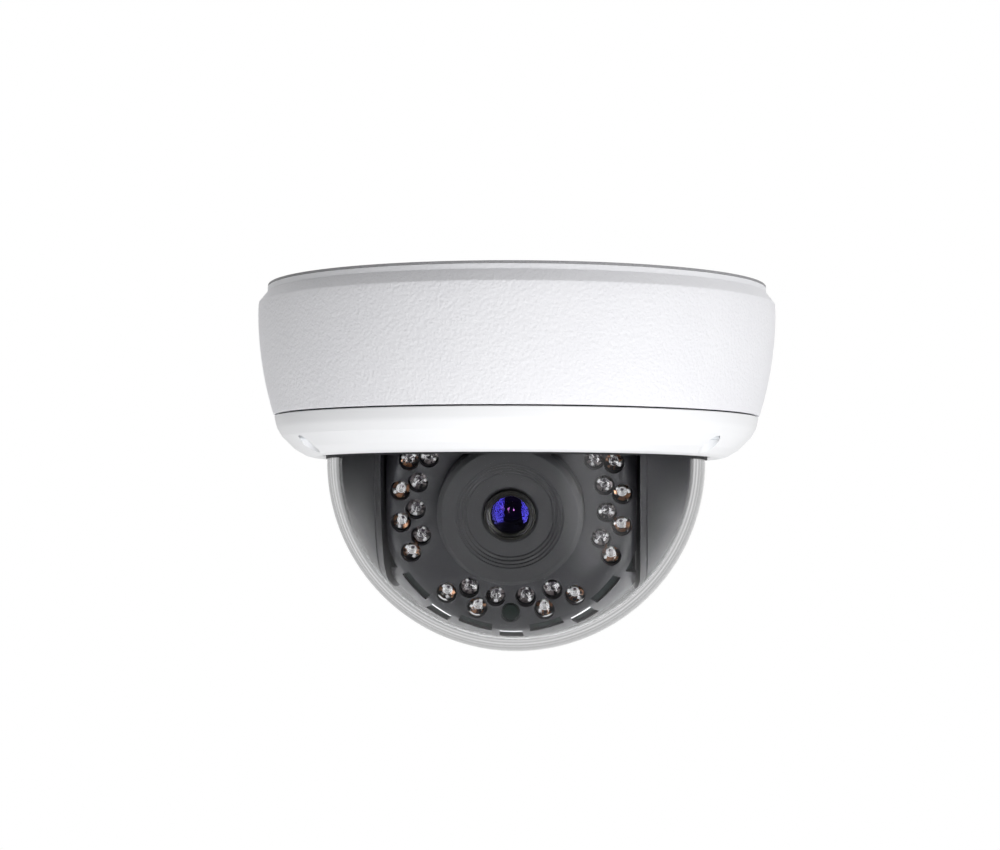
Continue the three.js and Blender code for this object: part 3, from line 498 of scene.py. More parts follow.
chip_plastic = opaque("chip_plastic", (0.02, 0.02, 0.022), 0.5, drift=0.2, drift_size=1, grain=0.01,
                      grain_size=0.12)
photocell_face = opaque("photocell_face", (0.012, 0.02, 0.017), 0.18, drift=0.3, drift_size=1.5,
                        grain=0.004, grain_size=0.5, roughness_drift=0.05)
capacitor_sleeve = opaque("capacitor_sleeve", (0.03, 0.05, 0.16), 0.3, drift=0.15, drift_size=3,
                          grain=0.006, grain_size=0.6)
connector_plastic = opaque("connector_plastic", (0.74, 0.69, 0.55), 0.45, drift=0.06, drift_size=3,
                           grain=0.01, grain_size=0.3)
nose_black = opaque("nose_black", (0.014, 0.0135, 0.011), 0.4, drift=0.2, drift_size=2, grain=0.006,
                    grain_size=0.15, Specular_IOR_Level=0.2)
black_anodised = opaque("black_anodised", (0.006, 0.006, 0.007), 0.3, drift=0.2, drift_size=2,
                        grain=0.006, grain_size=0.12, Specular_IOR_Level=0.2)
reflector_silver = opaque("reflector_silver", (0.98, 0.97, 0.95), 0.3, metallic=0.1, drift=0.05,
                          drift_size=0.5, grain=0.004, grain_size=0.2, roughness_drift=0.06)
# These three finishes paint reflections into their colour as dark and bright patches; the dim cup finish is also
# painted shade on the top row.
dim_reflector_and_painted_shade = metal_with_painted_reflections("dim_reflector_and_painted_shade", (0.04, 0.035, 0.04), (0.85, 0.83, 0.85), 0.3)
lead_frame_metal = metal_with_painted_reflections("lead_frame_metal", (0.02, 0.016, 0.018), (0.5, 0.44, 0.44), 0.26)
lead_copper = metal_with_painted_reflections("lead_copper", (0.035, 0.028, 0.028), (0.6, 0.3, 0.16), 0.45)
die_grey = opaque("die_grey", (0.12, 0.1, 0.12), 0.25, drift=0.2, drift_size=0.1, grain=0.002,
                  grain_size=0.05)
coated_inner = opaque("coated_inner", (0.006, 0.002, 0.014), 0.04, drift=0.3, drift_size=2, grain=0.0005,
                      grain_size=2, roughness_drift=0.02, Specular_Tint=(0.9, 0.35, 0.8, 1),
                      Specular_IOR_Level=1.0, IOR=1.8)
sensor_face = opaque("sensor_face", (0.02, 0.03, 0.08), 0.12, drift=0.3, drift_size=1, grain=0.001,
                     grain_size=0.5, roughness_drift=0.05)
clear_dome = see_through("clear_dome", (0.985, 0.99, 0.995), 1.58, (0.9, 0.9, 0.91))
clear_epoxy = see_through("clear_epoxy", (0.97, 0.97, 0.98), 1.53, (0.95, 0.95, 0.96))
filter_glass = see_through("filter_glass", (0.5, 0.85, 0.9), 1.52, (0.6, 0.9, 0.92))
coated_glass = see_through("coated_glass", (0.75, 0.72, 0.95), 1.75, (0.8, 0.78, 0.95), specular=1.0)
coated_glass.node_tree.nodes["Principled BSDF"].inputs["Specular Tint"].default_value = (0.08, 0.065, 0.8, 1)

# ---------------------------------------------------------------- housing


def side_radius(z):
    return BODY_RADIUS - SIDE_CURVE + math.sqrt(SIDE_CURVE**2 - (z - WIDEST_Z) ** 2)


def screw_places(prefix, names):
    """Middles of the screws' own boxes, in millimetres."""
    places = []
    for name in names:
        low, high = box_mm(prefix + name)
        places.append(((low.x + high.x) / 2, (low.y + high.y) / 2))
    return places


COVER_SCREWS = screw_places("cover_screw_", ("left", "right", "rear"))
RETAINER_SCREWS = screw_places("retainer_screw_", ("front", "left", "right"))
BOARD_SCREWS = screw_places("board_screw_", ("left", "right", "centre"))
FIXING_HOLES = [around(47, FRONT + turn) for turn in (0, 120, 240)]
OUTLET_PLACE = (-40.0, 0.0)
OUTLET_RADIUS = 7.0
COUNTERBORE_RADIUS = 2.8
COUNTERBORE_FLOOR = -40.6
BOLT_BOSS = 3.9
BOLT_SHANK = 1.5
BOLT_HEAD = 2.6
BOLT_HEIGHT = 1.8
BOLT_TIP = -25


def housing_shell():
    side = [(side_radius(z), z, 0) for z in spread(WIDEST_Z - 0.4, SEAM_Z + 0.7, 22)]
    inside = [(side_radius(z) - WALL - 0.4, z, 0) for z in spread(-31, WIDEST_Z, 8)]
    outline = rounded(
        [
            (0, 0, 0),
            (GASKET_INNER_RADIUS, 0, 0.15),
            (GASKET_INNER_RADIUS, -GASKET_HEIGHT, 0),
            (NECK_RADIUS, -GASKET_HEIGHT, 0.12),
            (NECK_RADIUS, -2.05, 0.35),
            (BODY_RADIUS - 0.1, -5.1, 0.9),
            *side,
            (side_radius(SEAM_Z), SEAM_Z, 0.22),
            (61.7, SEAM_Z, 0.2),
            (61.7, -32.5, 0.3),
            *inside,
            (64, -WALL, 1.5),
            (0, -WALL, 0),
        ]
    )
    spigot = turned(
        rounded(
            [
                (4.2, -WALL + 0.5, 0),
                (9.6, -WALL + 0.5, 0),
                (9.6, -8.6, 0.4),
                (6.8, -8.6, 0),
                (6.8, -13.4, 0.4),
                (4.2, -13.4, 0.3),
            ]
        ),
        MEDIUM,
    )
    cover_bosses = [bar(3.8, SEAM_Z, -WALL + 0.5, place) for place in COVER_SCREWS]
    board_posts = [bar(2.6, -4.95, -WALL + 0.5, place) for place in BOARD_SCREWS]
    tapped = [bar(BOLT_SHANK + 0.3, SEAM_Z - 1, SEAM_Z + 12, place) for place in COVER_SCREWS]
    fixings = [flared_hole(2.25, -WALL - 1, 0, 0.4, place) for place in FIXING_HOLES]
    outlet = flared_hole(OUTLET_RADIUS, -WALL - 1, 0, 0.3, OUTLET_PLACE, MEDIUM)
    groove = turned([(62.8, SEAM_Z - 1), (64.4, SEAM_Z - 1), (64.4, SEAM_Z + 1), (62.8, SEAM_Z + 1)])
    window = block((-2, 2, -8), (2, 12, -WALL))
    cast = join(turned(outline), spigot, *cover_bosses, *board_posts)
    return cut(cast, *tapped, *fixings, outlet, groove, window)


def add_housing():
    shell = piece("housing_shell", housing_shell(), "base", leather_white,
                  replaces=["base_housing"])
    keep_flat(shell.data, CEILING_Z)
    gasket = turned(
        rounded(
            [
                (GASKET_INNER_RADIUS + 0.1, -0.02, 0.1),
                (NECK_RADIUS - 0.05, -0.02, 0.2),
                (NECK_RADIUS - 0.05, -GASKET_HEIGHT + 0.03, 0.1),
                (GASKET_INNER_RADIUS + 0.1, -GASKET_HEIGHT + 0.03, 0.1),
            ]
        )
    )
    piece("ceiling_gasket", gasket, "base", foam_black, replaces=["mounting_gasket"])
    grommet = turned(
        rounded(
            [
                (4, -0.2, 0.5),
                (OUTLET_RADIUS - 0.1, -0.2, 0.2),
                (OUTLET_RADIUS - 0.1, -WALL - 0.05, 0),
                (OUTLET_RADIUS + 2, -WALL - 0.05, 0.3),
                (OUTLET_RADIUS + 2, -WALL - 2, 0.8),
                (4, -WALL - 2, 0.6),
            ]
        ),
        MEDIUM,
    )
    moved(grommet, Matrix.Translation((*OUTLET_PLACE, 0)))
    piece("outlet_grommet", grommet, "base", rubber_black, replaces=["cable_grommet"])
    seal = turned(
        rounded(
            [
                (62.95, COVER_TOP + 0.05, 0.3),
                (64.25, COVER_TOP + 0.05, 0.3),
                (64.25, SEAM_Z + 0.9, 0.5),
                (62.95, SEAM_Z + 0.9, 0.5),
            ]
        )
    )
    piece("seam_seal", seal, "base", rubber_black, replaces=["cover_seal"])


# ---------------------------------------------------------------- cover ring and dome


def cover_shell():
    outline = rounded(
        [
            (62.2, COVER_TOP, 0),
            (65.5, COVER_TOP, 0.22),
            (64.75, -38.6, 5),
            (63.3, -41.0, 1.6),
            (60.0, -44.2, 3),
            (57.0, -46.0, 3),
            (55.2, COVER_LOW, 2.2),
            (52.4, -46.1, 0.5),
            (LIP_RADIUS, -45.2, 0.2),
            (LIP_RADIUS, SHELF_Z, 0.2),
            (58.2, SHELF_Z, 0),
            (58.6, -42.6, 0),
            (61.6, -39.6, 0.5),
        ],
        8,
    )
    solid = turned(outline)
    lowest = min(range(len(outline)), key=lambda index: outline[index][1])
    envelope = turned([(50, COVER_TOP), *outline[1:lowest + 1], (50, COVER_LOW)])
    bosses = [common(bar(BOLT_BOSS, -43.9, COVER_TOP, place), envelope.copy()) for place in COVER_SCREWS]
    bores = [bar(COUNTERBORE_RADIUS, -50, COUNTERBORE_FLOOR, place, MEDIUM) for place in COVER_SCREWS]
    shanks = [bar(BOLT_SHANK + 0.3, -50, COVER_TOP + 1, place) for place in COVER_SCREWS]
    threads = [bar(1.6, SHELF_Z - 1.8, SHELF_Z + 1, place) for place in RETAINER_SCREWS]
    return cut(join(solid, *bosses), *bores, *shanks, *threads)


def quarter(radius, steps):
    """A quarter circle from level with the dome's centre to its lowest point."""
    return [
        (radius * math.cos(angle), DOME_CENTRE_Z - radius * math.sin(angle))
        for angle in spread(0, math.pi / 2, steps)
    ]


def dome_shell():
    inner = DOME_RADIUS - DOME_WALL
    flange_low = SHELF_Z + 0.9
    flange_top = flange_low + 1.8
    rim = rounded(
        [
            (DOME_RADIUS, -46, 0),
            (inner, -46, 0),
            (inner, flange_top, 0.3),
            (DOME_FLANGE_RADIUS, flange_top, 0.3),
            (DOME_FLANGE_RADIUS, flange_low, 0.3),
            (DOME_RADIUS, flange_low, 0.5),
        ]
    )[2:]
    outline = quarter(DOME_RADIUS, 72) + quarter(inner, 72)[::-1] + rim
    bosses = [bar(BOLT_BOSS + 0.4, -60, -30, place) for place in COVER_SCREWS]
    screws = [bar(1.6, -60, -30, place) for place in RETAINER_SCREWS]
    return cut(turned(outline), *bosses, *screws)


def countersunk_screw(head_face, tip, radius, shank, height):
    """A pan head with a star recess, as turned and cut along Z with its head downwards."""
    body = turned(
        rounded(
            [
                (0, tip, 0),
                (shank * 0.6, tip, 0),
                (shank, tip - shank * 0.5, 0),
                (shank, head_face, 0),
                (radius, head_face, 0.1),
                (radius, head_face - height, radius * 0.22),
                (0, head_face - height - radius * 0.04, 0),
            ]
        ),
        MEDIUM,
    )
    floor = head_face - height * 0.4
    tips = [around(radius * 0.34, 60 * i) for i in range(6)]
    lobes = [bar(radius * 0.13, -REACH, floor, tip_place) for tip_place in tips]
    return cut(body, bar(radius * 0.33, -REACH, floor), *lobes)


def add_cover():
    for name, place in zip(("left", "right", "rear"), COVER_SCREWS):
        solid = countersunk_screw(COUNTERBORE_FLOOR - 0.02, BOLT_TIP, BOLT_HEAD, BOLT_SHANK, BOLT_HEIGHT)
        moved(solid, Matrix.Translation((*place, 0)))
        piece(f"cover_bolt_{name}", solid, "base", pale_steel,
              replaces=[f"cover_screw_{name}"])
    piece("cover_shell", cover_shell(), "base", satin_white,
          replaces=["cover_ring"])
    piece("clear_bubble", dome_shell(), "base", clear_dome, replaces=["dome_bubble"])


# ---------------------------------------------------------------- tilting head

SIDE_BANK = [(EMITTER_OUTER_RING, 24 - EMITTER_STEP * step) for step in range(4)]
SIDE_BANK += [(EMITTER_INNER_RING, 30.6 - EMITTER_STEP * step) for step in range(4)]
BOTTOM_BANK = [
    (EMITTER_INNER_RING, 9.1),
    (EMITTER_INNER_RING, 9.1 + EMITTER_STEP),
    (EMITTER_OUTER_RING, 17.6),
    (EMITTER_OUTER_RING, 35.2),
]
EMITTERS = {
    "left": [on_ring(radius, 180 - angle) for radius, angle in SIDE_BANK],
    "right": [on_ring(radius, angle) for radius, angle in SIDE_BANK],
    "bottom": [on_ring(radius, FRONT + side * angle) for radius, angle in BOTTOM_BANK for side in (-1, 1)],
}
LIGHT_SENSOR_PLACE = around(27.25, FRONT + FACE_TURN)
POSTS = [around(27, direction) for direction in (130, 50, 221, -41)]


def bezel_radius(forward):
    return math.sqrt(HEAD_RADIUS**2 - forward**2) - LENS_DROP


def bezel_body(face, wall, half_width, fillet):
    curve = [(bezel_radius(p) - wall, p, 0) for p in spread(face - 4, -8, 28)]
    rim = (bezel_radius(face) - wall, face, fillet)
    body = turned(rounded([(0, face, 0), rim, *curve, (0, -8, 0)]))
    return common(body, block((-half_width, -REACH, -REACH), (half_width, REACH, REACH)))


# Recesses along the rim, about the middle of the emitters' rings, as (inner radius, outer radius,
# half width in degrees, depth they start at).
LONG_RECESS = (31.4, 33.8, 7.6, 23)
SHORT_RECESS = (33.8, 37.6, 5, 20)
SLIT = (33.2, 33.85, 5, 17)
RECESS_DEPTH = 0.9
RECESS_STEP = 16


def rim_tools(shape, steps):
    inner, outer, half, low = shape
    lift = Matrix.Translation((0, EMITTER_RAISE, 0))
    middles = [FRONT + FACE_TURN + step * RECESS_STEP for step in steps]
    return [moved(ring_piece(inner, outer, m - half, m + half, low, REACH), lift) for m in middles]


def pivot_ear(side):
    shapes = []
    inner, outer = sorted((side * (BEZEL_HALF_WIDTH - 1.6), side * BEZEL_HALF_WIDTH))
    shapes.append(block((inner, -8 + LENS_DROP, 0), (outer, 8 + LENS_DROP, 18)))
    shapes.append(moved(along_x(bar(8, inner, outer)), Matrix.Translation((0, LENS_DROP, 0))))
    inner, outer = sorted((side * 26.8, side * BEZEL_HALF_WIDTH))
    shapes.append(moved(along_x(bar(6, inner, outer)), Matrix.Translation((0, LENS_DROP, 0))))
    return shapes


def bezel_skirt(depth, softness):
    """The bezel's outer form at a depth below its surface, cut off behind."""
    behind = block((-REACH, -REACH, -REACH), (REACH, REACH, 0))
    moved(behind, Matrix.Translation((0, LENS_DROP, 13.5)) @ Matrix.Rotation(math.radians(10), 4, "X"))
    form = cut(bezel_body(FACE - depth, depth, BEZEL_HALF_WIDTH - depth, 4.5 * softness), behind)
    return softened(form, 0.25 * softness) if softness else form


def bezel_inside():
    return bezel_body(FACE_BACK, 1.7, BEZEL_HALF_WIDTH - 1.6, 0.3)


def recess_liner():
    """The strip behind the rim's recesses, cut away from the rest of the face."""
    liner = cut(bezel_skirt(RECESS_DEPTH, 0), bezel_inside(), *rim_tools(SLIT, (-2, 0, 2)))
    middle = bar(31.1, -REACH, REACH, (0, EMITTER_RAISE), MEDIUM)
    return cut(liner, middle, block((-REACH, -12, -REACH), (REACH, REACH, REACH)))


def slit_highlight_strip(step):
    """A bright steel strip set into one of the slits as a painted highlight along its edge."""
    return common(bezel_skirt(0.2, 0), *rim_tools((SLIT[0] + 0.05, SLIT[1], SLIT[2] - 0.1, 24), [step]))


def front_bezel():
    recesses = rim_tools(LONG_RECESS, (-3, -1, 1, 3)) + rim_tools(SHORT_RECESS, (-4, -2, 0, 2, 4))
    shell = cut(bezel_skirt(0, 1), *recesses, bezel_inside())
    hole = moved(along_x(bar(2.75, -REACH, REACH)), Matrix.Translation((0, LENS_DROP, 0)))
    posts = [bar(2.5, 12.3, FACE_BACK + 0.5, place) for place in POSTS]
    emitter_holes = [
        flared_hole(EMITTER_RADIUS + 0.42, 20, FACE, 0.12, place)
        for places in EMITTERS.values()
        for place in places
    ]
    sensor_hole = flared_hole(2.45, FACE_BACK - 1, FACE, 0.15, LIGHT_SENSOR_PLACE)
    opening = flared_hole(SHROUD_RADIUS + 0.2, FACE_BACK - 1, FACE, 0.15, steps=MEDIUM)
    joined = join(shell, *pivot_ear(-1), *pivot_ear(1), *posts)
    return cut(joined, hole, *emitter_holes, sensor_hole, opening, *rim_tools(SLIT, (-2, 0, 2)))


def emitter_body():
    """The clear epoxy of one emitter, with its round tip forwards."""
    shoulder = 29.0
    tip = [
        (EMITTER_RADIUS * math.cos(angle), shoulder + EMITTER_RADIUS * math.sin(angle))
        for angle in spread(0, math.pi / 2, 12)
    ]
    return turned([(0, 25.5), (EMITTER_RADIUS, 25.5), *tip], SMALL)


def emitter_head(radius):
    """The broad head of the lead frame that carries the cup."""
    disc = [(0, 26.4, 0), (radius, 26.4, 0.1), (radius * 0.75, 27.6, 0.2), (0, 27.6, 0)]
    return join(turned(rounded(disc), SMALL), block((-radius - 0.15, -0.4, 26.4), (-0.5, 0.35, 28.3)))


def emitter_cup():
    """The reflector round the die, with steps that catch the light."""
    outside = [(0.16, 27.5), (0.4, 27.5), (0.72, 28.5), (0.62, 28.55)]
    inside = [(0.5, 28.2), (0.44, 28.25), (0.32, 27.9), (0.26, 27.95)]
    return turned(outside + inside, SMALL)


def emitter_wire():
    """The bond wire from the second post to the die, and the post's head."""
    post = block((0.85, -0.35, 27.4), (1.3, 0.3, 28.9))
    wire = block((0, -0.07, 28.6), (1.0, 0.07, 28.75))
    far_post = block((-0.95, 0.5, 27.6), (-0.5, 0.9, 28.7))
    return merged([post, wire, far_post])


# Emitters above this height lie in the cover's shade when the head is at rest. Their cups get the dim finish as
# painted shade, and keep it at every pose.
SHADE_HEIGHT = 10
HEAD_TURN = 37  # degrees by which each emitter's insides are turned from the one before
OUTER_HEAD = 1.3
INNER_HEAD = 1.45


def add_emitters():
    number = 0
    for bank, places in EMITTERS.items():
        for index, place in enumerate(places):
            number += 1
            turn = Matrix.Rotation(math.radians(HEAD_TURN * number), 4, "Z")
            there = OPTICS @ Matrix.Translation((*place, 0)) @ turn
            node = [f"ir_led_bank_{bank}"] if index == 0 else []
            outer_ring = math.hypot(place[0], place[1] - EMITTER_RAISE) > EMITTER_INNER_RING + 1
            # Painted shade: cups above SHADE_HEIGHT take the dim finish; inner-ring cups take it as their own
            # finish.
            shaded = place[1] > SHADE_HEIGHT
            frame_finish = lead_copper if outer_ring else lead_frame_metal
            parts = {
                "epoxy": (emitter_body(), clear_epoxy),
                "head": (emitter_head(OUTER_HEAD if outer_ring else INNER_HEAD), frame_finish),
                "cup": (emitter_cup(), reflector_silver if outer_ring and not shaded else dim_reflector_and_painted_shade),
                "wire": (emitter_wire(), reflector_silver),
                "die": (block((-0.14, -0.14, 27.4), (0.14, 0.14, 27.8)), die_grey),
            }
            for part, (mesh, finish) in parts.items():
                name = f"emitter_{part}_{number:02d}"
                hides = node if part == "epoxy" else []
                piece(name, mesh, "tilt_head", finish, there, hides)


def shroud():
    hub = LENS_NOSE_RADIUS + 0.17
    steps = []
    for step in range(3):
        low, out = 37.55 - 0.45 * step, 13.4 - 0.8 * step
        steps += [(out, low, 0.1), (out - 0.6, low, 0.15)]
    steps.append((10.9, 36.2, 0.1))
    outline = rounded(
        [
            (hub, 25.4, 0),
            (9.5, 25.4, 0),
            (9.5, 34.4, 0),
            (16.6, 35, 0),
            (16.6, 25.8, 0),
            (20.3, 25.8, 0),
            (20.3, 27.6, 0),
            (SHROUD_RADIUS, 27.6, 0),
            (SHROUD_RADIUS, 36.2, 0.5),
            (17.2, 37.5, 0.8),
            (13.55, SHROUD_FRONT, 0.2),
            *steps,
            (hub + 0.6, 36.4, 0.4),
            (hub, 36.0, 0.2),
        ]
    )
    return turned(outline, FINE)


def photocell():
    """The light sensor's round cell, with a groove between its rim and its face."""
    rim, face, floor = FACE - 0.15, FACE - 0.25, FACE - 0.7
    groove = [(2.15, rim, 0.05), (2.05, floor, 0), (1.9, floor, 0), (1.85, face, 0.05)]
    outline = [(0, 25.5, 0), (2.3, 25.5, 0), (2.3, rim, 0.08), *groove, (0, face, 0)]
    return turned(rounded(outline), MEDIUM)


def add_head():
    piece("emitter_bezel", front_bezel(), "tilt_head", dark_plastic, OPTICS,
          ["front_bezel"])
    piece("rim_liner", recess_liner(), "tilt_head", liner_plastic, OPTICS)
    # Painted highlight: a bright strip in each slit.
    for name, step in (("left", -2), ("middle", 0), ("right", 2)):
        piece(f"slit_highlight_strip_{name}", slit_highlight_strip(step), "tilt_head", highlight_strip_steel, OPTICS)
    add_emitters()
    place = OPTICS @ Matrix.Translation((*LIGHT_SENSOR_PLACE, 0))
    piece("photocell", photocell(), "tilt_head", photocell_face, place, ["light_sensor"])
    piece("rubber_shroud", shroud(), "camera_module", shroud_rubber, OPTICS,
          ["lens_shroud"])


# ---------------------------------------------------------------- yoke arms


def sphere(radius, steps=MEDIUM):
    return turned(
        [(radius * math.cos(angle), radius * math.sin(angle))
         for angle in spread(-math.pi / 2, math.pi / 2, steps // 2)],
        steps,
    )


def yoke_arm(side):
    """Top flange, riser, flat cheek and the spherical cap that fills the dome beside the head."""
    web_outer, arm_outer, cap_top = ARM_INNER + 1.8, ARM_INNER + 3.0, -41.0

    def span(inner, outer):
        return sorted((side * inner, side * outer))

    low_x, high_x = span(25, arm_outer)
    flange = block((low_x, -8, -14.15), (high_x, 8, -11.75))
    low_x, high_x = span(ARM_INNER, arm_outer)
    riser = block((low_x, -8, DOME_CENTRE_Z - 6), (high_x, 8, -11.75))
    shell = cut(sphere(HEAD_RADIUS, 160), sphere(HEAD_RADIUS - 2, 160))
    low_x, high_x = span(ARM_INNER, REACH)
    shell = common(shell, block((low_x, -REACH, -REACH), (high_x, REACH, REACH)))
    web = along_x(bar(32.8, *span(ARM_INNER, web_outer), steps=MEDIUM))
    cap = moved(join(shell, web), Matrix.Translation((0, 0, DOME_CENTRE_Z)))
    cap = common(cap, block((-REACH, -REACH, -REACH), (REACH, REACH, cap_top)))
    pivot = moved(along_x(bar(4.3, *span(30, 40))), Matrix.Translation((0, 0, DOME_CENTRE_Z)))
    screw = bar(1.6, -20, 0, (side * 28.5, 0))
    return cut(softened(join(flange, riser, cap), 0.35), pivot, screw)


def add_arms():
    for name, side in (("left", -1), ("right", 1)):
        piece(f"yoke_cheek_{name}", yoke_arm(side), "pan_stage", arm_plastic,
              replaces=[f"yoke_arm_{name}"])


# ---------------------------------------------------------------- lens


def add_lens():
    seat = 31.4
    barrel = turned(
        rounded(
            [
                (4, 12, 0.1),
                (6, 12, 0.2),
                (6, 33.4, 0),
                (LENS_NOSE_RADIUS, 33.4, 0.2),
                (LENS_NOSE_RADIUS, LENS_NOSE_FRONT, 0.12),
                (5.95, LENS_NOSE_FRONT - 0.15, 0.05),
                (5.75, LENS_NOSE_FRONT - 0.35, 0),
                (5.75, seat, 0),
                (4, seat, 0),
            ]
        ),
        MEDIUM,
    )
    piece("lens_tube", barrel, "lens", nose_black, OPTICS, ["lens_barrel"])
    ring_outline = [(4.95, 36.25, 0.05), (5.65, 36.2, 0), (5.65, 36.85, 0.1), (5.0, 36.5, 0.05)]
    ring = turned(rounded(ring_outline), MEDIUM)
    piece("lens_retainer", ring, "lens", nose_black, OPTICS, ["lens_ring"])
    crown, curve, glass = 37.5, 9.6, 5.45
    front = [(r, crown - curve + math.sqrt(curve**2 - r**2)) for r in spread(glass, 0, 16)]
    back = [(0, 35.2), (3.2, 34.7), (4.4, 34.0), (glass, 33.6)]
    piece("front_element", turned(front + back, MEDIUM), "lens", coated_glass, OPTICS,
          ["front_lens"])
    baffle = turned([(3.0, 31.5), (5.7, 31.5), (5.7, 33.5), (4.6, 33.5), (3.9, 32.6), (3.4, 32.2)], MEDIUM)
    piece("lens_baffle", baffle, "lens", black_anodised, OPTICS)
    crest = [(1.7 * math.sin(a), 30.9 + 1.7 * math.cos(a)) for a in spread(0.1, 1.4, 10)]
    inner = turned([(0, 32.6), *crest, (3.2, 30.9), (3.2, 29.5), (0, 29.5)], MEDIUM)
    piece("inner_element", inner, "lens", coated_inner, OPTICS, ["rear_lens"])


# ---------------------------------------------------------------- CAD nodes that stay

FINISHES = {
    "white_paint": leather_white,
    "white_cover_paint": satin_white,
    "foam": foam_black,
    "black_rubber": rubber_black,
    "clear_dome": clear_dome,
    "dark_plastic": dark_plastic,
    "bright_steel": bright_steel,
    "black_steel": black_steel,
    "green_board": green_board,
    "black_board": black_board,
    "chip_plastic": chip_plastic,
    "photocell": photocell_face,
    "capacitor_sleeve": capacitor_sleeve,
    "connector_plastic": connector_plastic,
    "emitter_epoxy": clear_epoxy,
    "black_anodised": black_anodised,
    "coated_glass": coated_glass,
    "filter_glass": filter_glass,
    "sensor_face": sensor_face,
}


def finish_nodes():
    for part in frame["record"]["subparts"]:
        node = frame["nodes"][part["node"]]
        node.data.materials.clear()
        node.data.materials.append(FINISHES[part["material_slot"]])


# ---------------------------------------------------------------- studio


def add_camera():
    distance = 0.65
    height = -0.066
    azimuth = math.radians(2.55)
    data = bpy.data.cameras.new("camera")
    data.lens = 86.2
    data.sensor_width = 36
    data.clip_start = 0.05
    camera = bpy.data.objects.new("camera", data)
    camera.location = (distance * math.sin(azimuth), -distance * math.cos(azimuth), height)
    pitch, aside = math.radians(90 + 2.52), azimuth + math.radians(0.38)
    camera.rotation_euler = (pitch, math.radians(-0.23), aside)
    bpy.context.scene.collection.objects.link(camera)
    bpy.context.scene.camera = camera


def add_floor():
    """A pale floor that only the camera sees: it casts no light on the object."""
    floor_z = -2.0
    mesh = moved(turned([(0, -10), (4000, -10), (4000, 0), (0, 0)], 64),
                 Matrix.Translation((0, 0, floor_z)) @ ROW)
    floor = bpy.data.objects.new("floor", mesh)
    material = bpy.data.materials.new("floor")
    tree = Tree(material)
    shader = tree.nodes["Principled BSDF"]
    shader.inputs["Base Color"].default_value = (0.8, 0.8, 0.8, 1)
    shader.inputs["Emission Color"].default_value = (1, 1, 1, 1)
    shader.inputs["Emission Strength"].default_value = 1.0
    mesh.materials.append(material)
    floor.visible_glossy = False
    floor.visible_diffuse = False
    floor.visible_transmission = False
    floor.visible_shadow = False
    bpy.context.scene.collection.objects.link(floor)


def heading(azimuth, elevation):
    """The direction at an azimuth to the right of the front, both in degrees."""
    across, level = math.radians(azimuth), math.radians(elevation)
    return (
        math.sin(across) * math.cos(level),
        -math.cos(across) * math.cos(level),
        math.sin(level),
    )


SOFT_LIGHTS = [
    # azimuth, elevation, strength
    (20, -45, 2.6),
    (35, -20, 0.8),
    (-150, 0, 2.7),
    (150, 45, 2.6),
]


def soft_box(tree, parts, side, start, strength):
    """A tall soft box at one side, seen only by mirror rays that come from inside the dome."""
    sideways = tree.math("MULTIPLY", parts["X"], side)
    across = smooth_step(tree, sideways, start, start + 0.05, 0.0, 1.0)
    outer = smooth_step(tree, sideways, 0.9, 0.97, 1.0, 0.0)
    middle = tree.math("ABSOLUTE", tree.math("ADD", parts["Z"], 0.12))
    height = smooth_step(tree, middle, 0.58, 0.66, strength, 0.0)
    front = smooth_step(tree, parts["Y"], -0.1, 0.1, 1.0, 0.0)
    return tree.math("MULTIPLY", tree.math("MULTIPLY", across, outer), tree.math("MULTIPLY", height, front))


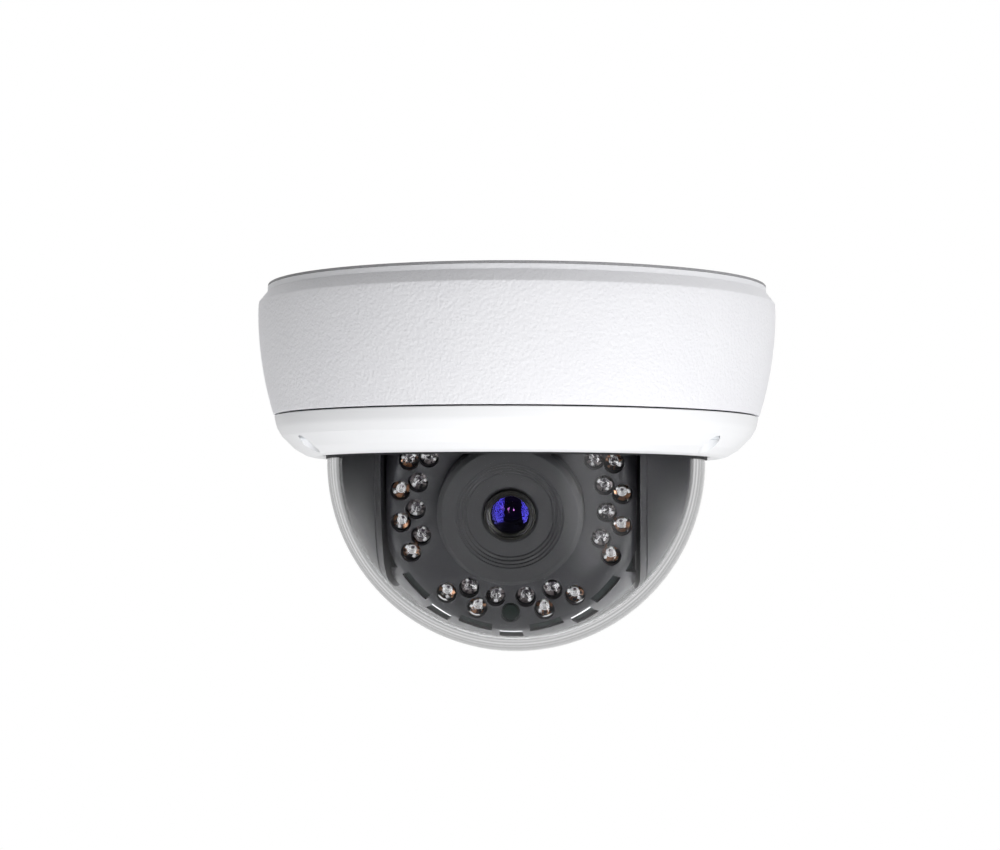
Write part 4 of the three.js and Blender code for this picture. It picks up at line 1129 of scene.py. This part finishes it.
def add_world():
    """White to the camera. Matt surfaces are lit by soft lobes, and glossy ones mirror a dim room.

    Rays that have passed through the dome's wall and been mirrored see brighter boxes and ground.
    """
    world = bpy.data.worlds.new("studio")
    bpy.context.scene.world = world
    tree = Tree(world)
    direction = tree.node("ShaderNodeTexCoord").outputs["Generated"]
    parts = tree.node("ShaderNodeSeparateXYZ", Vector=direction).outputs
    lit = 0.04
    for azimuth, elevation, strength in SOFT_LIGHTS:
        towards = heading(azimuth, elevation)
        facing = tree.node("ShaderNodeVectorMath", {"operation": "DOT_PRODUCT"}, _0=direction, _1=towards)
        lobe = tree.math("POWER", tree.math("MAXIMUM", facing.outputs["Value"]), 3.0)
        lit = tree.math("ADD", tree.math("MULTIPLY", lobe, strength), lit)
    low = tree.math("MULTIPLY", parts["Z"], -1.0)
    below = smooth_step(tree, low, 0.02, 0.3, 0.0, 1.0)
    sweep = smooth_step(tree, parts["Y"], -0.1, 0.8, 0.01, 0.2)
    backdrop = smooth_step(tree, parts["Y"], 0.96, 0.985, 0.0, 0.4)
    behind = smooth_step(tree, parts["Y"], 0.7, 0.8, 0.0, 0.47)
    phase = tree.math("MULTIPLY", tree.math("SUBTRACT", parts["Y"], 0.88), 2 * math.pi / 0.06)
    wave = tree.math("COSINE", phase)
    wave = tree.math("ADD", tree.math("MULTIPLY", wave, 0.17), 0.14)
    near = tree.math("ABSOLUTE", tree.math("SUBTRACT", parts["Y"], 0.855))
    bands = tree.math("MULTIPLY", wave, smooth_step(tree, near, 0.035, 0.06, 1.0, 0.0))
    behind = tree.math("ADD", behind, bands)
    outside = tree.math("MAXIMUM", tree.math("MULTIPLY", below, sweep), behind)
    rising = smooth_step(tree, parts["X"], 0.4, 0.66, 0.0, 0.5)
    falling = smooth_step(tree, parts["X"], 0.72, 0.97, 1.0, 0.0)
    front = smooth_step(tree, parts["Y"], -0.1, 0.1, 1.0, 0.0)
    window = tree.math("MULTIPLY", tree.math("MULTIPLY", rising, falling), front)
    outside = tree.math("ADD", outside, tree.math("ADD", backdrop, window))
    path = tree.node("ShaderNodeLightPath").outputs
    left_box = soft_box(tree, parts, -1, 0.3, 5.0)
    right_box = soft_box(tree, parts, 1, 0.52, 12.0)
    ground = tree.math("MULTIPLY", below, smooth_step(tree, parts["Y"], 0.1, 0.7, 0.02, 3.8))
    boxes = tree.math("ADD", left_box, right_box)
    shallow = tree.math("LESS_THAN", path["Transmission Depth"], 4.5)
    inside = tree.math("ADD", tree.math("MULTIPLY", ground, shallow), boxes)
    deep = tree.math("MULTIPLY", tree.math("GREATER_THAN", path["Transmission Depth"], 2.5),
                     tree.math("GREATER_THAN", path["Glossy Depth"], 0.5))
    mirrored = tree.node("ShaderNodeMix", _0=deep, _2=outside, _3=inside).outputs[0]
    bright = tree.math("MAXIMUM", path["Is Glossy Ray"], path["Is Transmission Ray"])
    plain = tree.node("ShaderNodeMix", _0=bright, _2=lit, _3=mirrored).outputs[0]
    strength = tree.node("ShaderNodeMix", _0=path["Is Camera Ray"], _2=plain, _3=1.0).outputs[0]
    background = tree.nodes["Background"]
    background.inputs["Color"].default_value = (1, 1, 1, 1)
    tree.links.new(strength, background.inputs["Strength"])


def add_studio():
    bpy.context.scene.view_settings.view_transform = "Standard"
    add_world()
    add_floor()


finish_nodes()
add_camera()
add_studio()
add_housing()
add_cover()
add_head()
add_arms()
add_lens()
